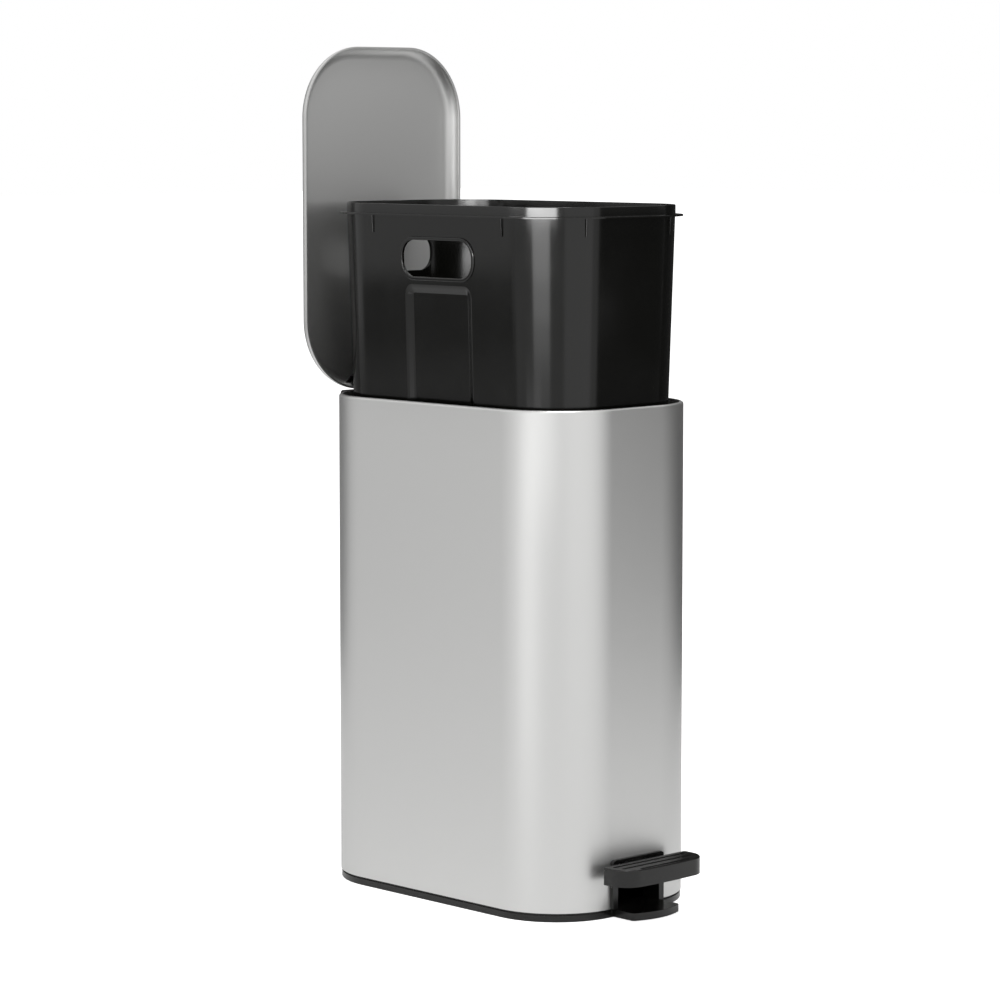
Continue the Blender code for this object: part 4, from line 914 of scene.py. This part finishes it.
def add_finger_hole(bucket, sizes, side, along, drop):
    """Joins a raised bead on a wall and cuts a flared finger hole through it."""
    out = outward(side)
    place = wall_place(sizes, side, along, drop)
    width, depth = (HOLE_HEIGHT, HOLE_WIDTH) if side else (HOLE_WIDTH, HOLE_HEIGHT)

    def hole_face(name, margin, rise):
        """The hole's outline, grown by a margin and raised off the wall."""
        return outline_face(
            name,
            width + 2 * margin,
            depth + 2 * margin,
            HOLE_RADIUS + margin,
            place + out * rise,
            SMALL_CORNER_SEGMENTS,
            wall_turn(side),
        )

    bead = hole_face("bead", BEAD_WIDTH, -BEAD_SINK)
    extrude(out * (BEAD_SINK + BEAD_HEIGHT - BEAD_ROUND))
    round_over(BEAD_ROUND, BEAD_STEPS)
    face_outwards(bead)
    if not side:
        flange_z = flange_level(sizes)
        gap = block(
            "gap",
            (-CHANNEL_HALF_WIDTH, 0, flange_z - BEAD_GAP_DROP),
            (CHANNEL_HALF_WIDTH, sizes.body_depth / 2 + CUT_REACH, flange_z + CUT_REACH),
        )
        combine(bead, gap, "DIFFERENCE")
    combine(bucket, bead, "UNION")
    hole = hole_face("hole", HOLE_FLARE, BEAD_HEIGHT + HOLE_START)
    extrude(-out * HOLE_START)
    pick_facing(hole, -out)
    round_into(HOLE_FLARE, BEAD_STEPS)
    extrude(-out * HOLE_REACH)
    face_outwards(hole)
    combine(bucket, hole, "DIFFERENCE")


def add_web(bucket, place, out):
    """Joins a thin tapered web on the bucket, square off its wall, under the flange."""
    web = block(
        "web",
        (-WEB_HALF_WIDTH, -WEB_SINK, -WEB_DROP),
        (WEB_HALF_WIDTH, WEB_REACH, WEB_OVERLAP),
        WEB_EDGE,
        1,
    )
    shift_points(web, lambda point: point.y > 0 and point.z < 0, (0, -WEB_TAPER, 0))
    web.rotation_euler = (0, 0, atan2(-out.x, out.y))
    web.location = place
    settle(web)
    combine(bucket, web, "UNION")


def add_webs(bucket, sizes):
    """Joins a web near both ends of each long side, and one on each corner."""
    round_x = sizes.body_width / 2 - sizes.corner_radius
    round_y = sizes.body_depth / 2 - sizes.corner_radius
    round_reach = sizes.corner_radius - sizes.bucket_inset
    for side in (-1, 1):
        for end in (-1, 1):
            place = wall_place(sizes, side, end * WEB_ALONG + HOLE_SHIFT, 0)
            add_web(bucket, place, Vector((side, 0, 0)))
            out = Vector((side * sin(WEB_BEARING), end * cos(WEB_BEARING), 0))
            centre = Vector((side * round_x, end * round_y, flange_level(sizes)))
            add_web(bucket, centre + out * round_reach, out)


def clear_hinge(bucket, sizes):
    """Cuts the back of the flange and rim clear of the hinge."""
    rear = sizes.body_depth / 2
    inner_y = rear - sizes.bucket_rim_inset
    flange_z = flange_level(sizes)
    rim_z = flange_z + sizes.flange_thickness + sizes.bucket_rim
    notch = block(
        "notch",
        (-HINGE_HALF_WIDTH, inner_y + SEAT_GAP / 2, flange_z - HINGE_ROOM),
        (HINGE_HALF_WIDTH, rear + OVERRUN, flange_z + HINGE_ROOM),
    )
    combine(bucket, notch, "DIFFERENCE")
    slant = block(
        "relief",
        (-HINGE_HALF_WIDTH, inner_y - RIM_RELIEF, rim_z - RIM_RELIEF_DROP),
        (HINGE_HALF_WIDTH, rear + OVERRUN, rim_z + OVERRUN),
    )
    shift_points(slant, lambda point: point.y < rear and point.z < rim_z, (0, RIM_RELIEF, 0))
    combine(bucket, slant, "DIFFERENCE")


class STEPCAN_OT_bucket(Operator):
    """Model the lifted bucket: flange, rim, finger holes, beads and panels"""

    bl_idname = "step_can.bucket"
    bl_label = "Lift-out bucket"

    def execute(self, context):
        sizes = context.scene.can_sizes
        bucket = bucket_outside(sizes)
        core = bucket_inside(sizes)
        for side in (-1, 1):
            combine(bucket, panel_cutter(sizes, side, 0.0), "DIFFERENCE")
            combine(core, panel_cutter(sizes, side, sizes.bucket_wall), "DIFFERENCE")
        combine(bucket, channel_cutter(sizes, 0.0), "DIFFERENCE")
        combine(core, channel_cutter(sizes, sizes.bucket_wall), "DIFFERENCE")
        combine(bucket, core, "DIFFERENCE")
        for side in (-1, 1):
            add_finger_hole(bucket, sizes, side, HOLE_SHIFT, HOLE_DROP)
        add_finger_hole(bucket, sizes, 0, 0.0, REAR_HOLE_DROP)
        add_webs(bucket, sizes)
        clear_hinge(bucket, sizes)
        material = bucket_plastic()
        finish_piece(bucket, "bucket", ["inner_bucket"], material, angle=20)
        return {"FINISHED"}


class STEPCAN_OT_surround(Operator):
    """Model the black arch around the pedal's opening"""

    bl_idname = "step_can.surround"
    bl_label = "Pedal surround"

    def execute(self, context):
        sizes = context.scene.can_sizes
        front = -sizes.body_depth / 2
        foot = sizes.sleeve_foot

        body = block(
            "surround_body",
            (-SURROUND_HALF_WIDTH, front - 2 * SEAT_GAP, foot),
            (SURROUND_HALF_WIDTH, SURROUND_BACK, SURROUND_TOP),
            SURROUND_RADIUS,
            SURROUND_STEPS,
            is_arch_corner,
        )
        lip = block(
            "pedal_arch",
            (-SURROUND_HALF_WIDTH - SURROUND_LIP, SURROUND_FRONT, foot),
            (SURROUND_HALF_WIDTH + SURROUND_LIP, front - SEAT_GAP, SURROUND_TOP + SURROUND_LIP),
            SURROUND_LIP_RADIUS,
            SURROUND_STEPS,
            is_arch_corner,
        )
        combine(lip, body, "UNION")
        mouth = block(
            "mouth",
            (-SURROUND_MOUTH, SURROUND_FRONT - OVERRUN, foot - OVERRUN),
            (SURROUND_MOUTH, SURROUND_BACK + OVERRUN, SURROUND_MOUTH_TOP),
            SURROUND_MOUTH_RADIUS,
            ARCH_STEPS,
            is_arch_corner,
        )
        combine(lip, mouth, "DIFFERENCE")
        soften(lip, SURROUND_EDGE, angle=40, segments=3)
        finish_piece(lip, "body", ["pedal_surround"], base_plastic())
        return {"FINISHED"}


class STEPCAN_OT_pedal(Operator):
    """Model the pedal's moulded tread with its grooves"""

    bl_idname = "step_can.pedal"
    bl_label = "Pedal tread"

    def execute(self, context):
        sizes = context.scene.can_sizes
        back = -sizes.body_depth / 2 - PAD_OFFSET
        front = back - PAD_DEPTH
        pad = outline_face(
            "pedal_tread",
            2 * PAD_HALF_WIDTH,
            PAD_DEPTH,
            0,
            (0, back - PAD_DEPTH / 2, PAD_TOP - PAD_HEIGHT),
            1,
        )
        for line, radius, steps in (
            (front, PAD_FRONT_RADIUS, PAD_FRONT_STEPS),
            (back, PAD_BACK_RADIUS, PAD_BACK_STEPS),
        ):
            pick_points(
                pad,
                lambda point: abs(abs(point.x) - PAD_HALF_WIDTH) < CLOSE
                and abs(point.y - line) < CLOSE,
            )
            bpy.ops.mesh.bevel(
                offset=radius, segments=steps, affect="VERTICES", clamp_overlap=False
            )
        straight = PAD_HALF_WIDTH - PAD_FRONT_RADIUS
        pick_edges(
            pad,
            lambda a, b: a.y == b.y and abs(a.y - front) < CLOSE and abs(a.x - b.x) > straight,
        )
        bpy.ops.mesh.subdivide(number_cuts=2 * PAD_BOW_STEPS - 1)
        for step in range(PAD_BOW_STEPS):
            x = straight * step / PAD_BOW_STEPS
            shift_points(
                pad,
                lambda point: point.y < front + NEAR and abs(abs(point.x) - x) < CLOSE,
                (0, -PAD_BOW * (1 - (x / straight) ** 2), 0),
            )
        edit(pad)
        bpy.ops.mesh.select_all(action="SELECT")
        extrude(UP * (PAD_HEIGHT - PAD_EDGE))
        round_over(PAD_EDGE, PAD_EDGE_STEPS)
        pick_facing(pad, -UP)
        inset(PAD_SHELL)
        extrude(UP * (PAD_HEIGHT - PAD_SHELL))
        face_outwards(pad)
        for setback, span, width in GROOVES:
            groove = outline_face(
                "groove",
                span,
                width,
                width / 2 - CLOSE,
                (0, back - setback, PAD_TOP + GROOVE_START),
                GROOVE_END_STEPS,
            )
            extrude(-UP * GROOVE_CUT)
            pick_facing(groove, -UP)
            inset(*GROOVE_SLOPE)
            face_outwards(groove)
            combine(pad, groove, "DIFFERENCE")
        mouth = block(
            "mouth",
            (-PAD_MOUTH_HALF_WIDTH, back - PAD_MOUTH_DEPTH, PAD_MOUTH_FOOT),
            (PAD_MOUTH_HALF_WIDTH, back + OVERRUN, PAD_MOUTH_TOP),
        )
        combine(pad, mouth, "DIFFERENCE")
        finish_piece(pad, "pedal", ["pedal_pad"], base_plastic())
        return {"FINISHED"}


def shadow_groove(sizes):
    """A ring that cuts the dark groove under the sleeve, left out at the step plate."""
    groove = plan_face(
        "groove", sizes, -SHADOW_GROOVE_OUT, sizes.base_height - SHADOW_GROOVE_HEIGHT
    )
    extrude(UP * SHADOW_GROOVE_CUT)
    face_outwards(groove)
    inner = plan_face("inner", sizes, SHADOW_GROOVE_IN, sizes.base_height - SHADOW_INNER_DROP)
    extrude(UP * SHADOW_INNER_CUT)
    face_outwards(inner)
    combine(groove, inner, "DIFFERENCE")
    combine(groove, block("plate", STEP_PLATE_LOW, STEP_PLATE_HIGH), "DIFFERENCE")
    return groove


class STEPCAN_OT_fittings(Operator):
    """Finish the linkage, hinge, guides and fasteners"""

    bl_idname = "step_can.fittings"
    bl_label = "Linkage and fasteners"

    def execute(self, context):
        sizes = context.scene.can_sizes
        plastic = base_plastic()
        zinc = plated_steel()
        for node, name, body, width in MOULDED:
            cutter = shadow_groove(sizes) if node == "base_tray" else None
            eased_copy(node, name, body, plastic, width, cutter)
        eased_copy("pedal_lever", "lever_bar", "pedal", zinc, LEVER_EDGE)
        for name in STEEL_NODES:
            dress_node(name, zinc)
        for name in RUBBER_NODES:
            dress_node(name, black_rubber())
        spring = copy_node("pedal_spring", "return_spring")
        finish_piece(spring, "body", ["pedal_spring"], zinc, angle=60)
        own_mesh(spring)
        return {"FINISHED"}


def add_lamp(name, place, aim, size, power):
    """A soft box that looks at a point."""
    deselect_all()
    bpy.ops.object.light_add(type="AREA", location=place)
    lamp = bpy.context.object
    lamp.name = name
    lamp.data.shape = "RECTANGLE"
    lamp.data.size = size[0]
    lamp.data.size_y = size[1]
    lamp.data.energy = power
    lamp.rotation_euler = (Vector(aim) - Vector(place)).to_track_quat("-Z", "Y").to_euler()
    lamp.visible_camera = False
    return lamp


def around(bearing, distance, height):
    """A place round the can, at a bearing in degrees from the left side (90 is the front)."""
    turn = radians(bearing)
    return Vector((-cos(turn) * distance, -sin(turn) * distance, height))


def add_strip(name, bearing, distance, low, high, width, level, lit):
    """A narrow lamp near the can that only shows as gloss on the pieces of a collection."""
    middle = (low + high) / 2
    power = level * pi * width * (high - low)
    place = around(bearing, distance, middle)
    strip = add_lamp(name, place, (0, 0, middle), (width, high - low), power)
    strip.visible_diffuse = False
    strip.light_linking.receiver_collection = lit


def add_card(name, bearing, distance, low, high, width, level):
    """A plain card, light or dark, out of view, that the metal and plastic mirror."""
    deselect_all()
    middle = (low + high) / 2
    place = around(bearing, distance, middle)
    bpy.ops.mesh.primitive_plane_add(size=1, location=place)
    card = bpy.context.object
    card.name = name
    card.scale = (width, high - low, 1)
    card.rotation_euler = (Vector((0, 0, middle)) - place).to_track_quat("Z", "Y").to_euler()
    material = bpy.data.materials.new(name)
    tree = bare_tree(material)
    glow = tree.nodes.new("ShaderNodeEmission")
    glow.inputs["Color"].default_value = WHITE
    glow.inputs["Strength"].default_value = level
    output = tree.nodes.new("ShaderNodeOutputMaterial")
    tree.links.new(glow.outputs["Emission"], output.inputs["Surface"])
    card.data.materials.append(material)
    card.visible_camera = False
    card.visible_diffuse = False
    card.visible_shadow = False
    card.visible_transmission = False


def bare_tree(owner):
    """The emptied node tree of a material or world."""
    owner.use_nodes = True
    owner.node_tree.nodes.clear()
    return owner.node_tree


def white_for_view(tree, plain):
    """Mixes a plain shader with white for camera, glossy and transmission rays."""
    path = tree.nodes.new("ShaderNodeLightPath")
    total = path.outputs["Is Camera Ray"]
    for name in ("Is Glossy Ray", "Is Transmission Ray"):
        add = tree.nodes.new("ShaderNodeMath")
        add.operation = "MAXIMUM"
        tree.links.new(total, add.inputs[0])
        tree.links.new(path.outputs[name], add.inputs[1])
        total = add.outputs[0]
    mix = tree.nodes.new("ShaderNodeMixShader")
    tree.links.new(total, mix.inputs["Fac"])
    tree.links.new(plain, mix.inputs[1])
    return mix


def add_floor(scene):
    """A pale floor that keeps the can's shadow, lifted to white where the camera sees it."""
    deselect_all()
    bpy.ops.mesh.primitive_plane_add(size=FLOOR_SIZE, location=(0, 0, 0))
    floor = bpy.context.object
    floor.name = "studio_floor"
    material = bpy.data.materials.new("studio_floor")
    tree = bare_tree(material)
    diffuse = tree.nodes.new("ShaderNodeBsdfDiffuse")
    diffuse.inputs["Color"].default_value = (*scene.can_colours.floor_white, 1.0)
    glow = tree.nodes.new("ShaderNodeEmission")
    path = tree.nodes.new("ShaderNodeLightPath")
    lift = tree.nodes.new("ShaderNodeMath")
    lift.operation = "MULTIPLY_ADD"
    lift.inputs[1].default_value = FLOOR_LIFT_IN_VIEW
    lift.inputs[2].default_value = FLOOR_LIFT
    tree.links.new(path.outputs["Is Camera Ray"], lift.inputs[0])
    tree.links.new(lift.outputs["Value"], glow.inputs["Strength"])
    both = tree.nodes.new("ShaderNodeAddShader")
    tree.links.new(diffuse.outputs["BSDF"], both.inputs[0])
    tree.links.new(glow.outputs["Emission"], both.inputs[1])
    mix = white_for_view(tree, diffuse.outputs["BSDF"])
    tree.links.new(both.outputs["Shader"], mix.inputs[2])
    output = tree.nodes.new("ShaderNodeOutputMaterial")
    tree.links.new(mix.outputs["Shader"], output.inputs["Surface"])
    floor.data.materials.append(material)


def add_surroundings(scene):
    """Even light from all round, white where the camera sees it or a surface mirrors it."""
    scene.world = bpy.data.worlds.new("studio")
    tree = bare_tree(scene.world)
    plain, white = (tree.nodes.new("ShaderNodeBackground") for _ in range(2))
    for shader, strength in ((plain, WORLD_LEVEL), (white, 1.0)):
        shader.inputs["Color"].default_value = WHITE
        shader.inputs["Strength"].default_value = strength
    mix = white_for_view(tree, plain.outputs["Background"])
    tree.links.new(white.outputs["Background"], mix.inputs[2])
    output = tree.nodes.new("ShaderNodeOutputWorld")
    tree.links.new(mix.outputs["Shader"], output.inputs["Surface"])


def add_camera(scene):
    """The camera, where the fit to the object's outlines puts it."""
    deselect_all()
    bpy.ops.object.camera_add(location=CAMERA_PLACE, rotation=CAMERA_TURN)
    camera = bpy.context.object
    camera.name = "photo_camera"
    camera.data.lens = CAMERA_LENS
    camera.data.sensor_width = CAMERA_SENSOR
    camera.data.clip_end = CAMERA_REACH
    scene.camera = camera


class STEPCAN_OT_stage(Operator):
    """Set the pale floor, the soft studio light and the camera"""

    bl_idname = "step_can.stage"
    bl_label = "Floor, light and camera"

    def execute(self, context):
        scene = context.scene
        scene.view_settings.view_transform = "Standard"
        add_floor(scene)
        add_surroundings(scene)
        for box in SOFT_BOXES:
            add_lamp(*box)
        groups = {}
        for group, piece in LIT_PIECES.items():
            groups[group] = bpy.data.collections.new(group)
            groups[group].objects.link(bpy.data.objects[piece])
        for *strip, group in STRIPS:
            add_strip(*strip, groups[group])
        for card in CARDS:
            add_card(*card)
        add_camera(scene)
        return {"FINISHED"}


BUILD_STEPS = (
    STEPCAN_OT_sleeve,
    STEPCAN_OT_lid,
    STEPCAN_OT_bucket,
    STEPCAN_OT_surround,
    STEPCAN_OT_pedal,
    STEPCAN_OT_fittings,
    STEPCAN_OT_stage,
)


class STEPCAN_PT_sidebar(Panel):
    """Lists the can's pieces, sizes and colours"""

    bl_label = "Step can"
    bl_idname = "STEPCAN_PT_sidebar"
    bl_space_type = "VIEW_3D"
    bl_region_type = "UI"
    bl_category = "Step can"

    def draw(self, context):
        layout = self.layout
        for step in BUILD_STEPS:
            layout.operator(step.bl_idname)
        for group in (context.scene.can_sizes, context.scene.can_colours):
            column = layout.column(align=True)
            for name in group.bl_rna.properties.keys():
                if name not in ("rna_type", "name"):
                    column.prop(group, name)


CLASSES = (StepCanSizes, StepCanColours, *BUILD_STEPS, STEPCAN_PT_sidebar)


def register():
    for item in CLASSES:
        bpy.utils.register_class(item)
    bpy.types.Scene.can_sizes = PointerProperty(type=StepCanSizes)
    bpy.types.Scene.can_colours = PointerProperty(type=StepCanColours)


def unregister():
    del bpy.types.Scene.can_colours
    del bpy.types.Scene.can_sizes
    for item in reversed(CLASSES):
        bpy.utils.unregister_class(item)


def main():
    """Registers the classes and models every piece."""
    register()
    bpy.ops.step_can.sleeve()
    bpy.ops.step_can.lid()
    bpy.ops.step_can.bucket()
    bpy.ops.step_can.surround()
    bpy.ops.step_can.pedal()
    bpy.ops.step_can.fittings()
    bpy.ops.step_can.stage()
    bpy.context.view_layer.update()


if __name__ == "__main__":
    main()
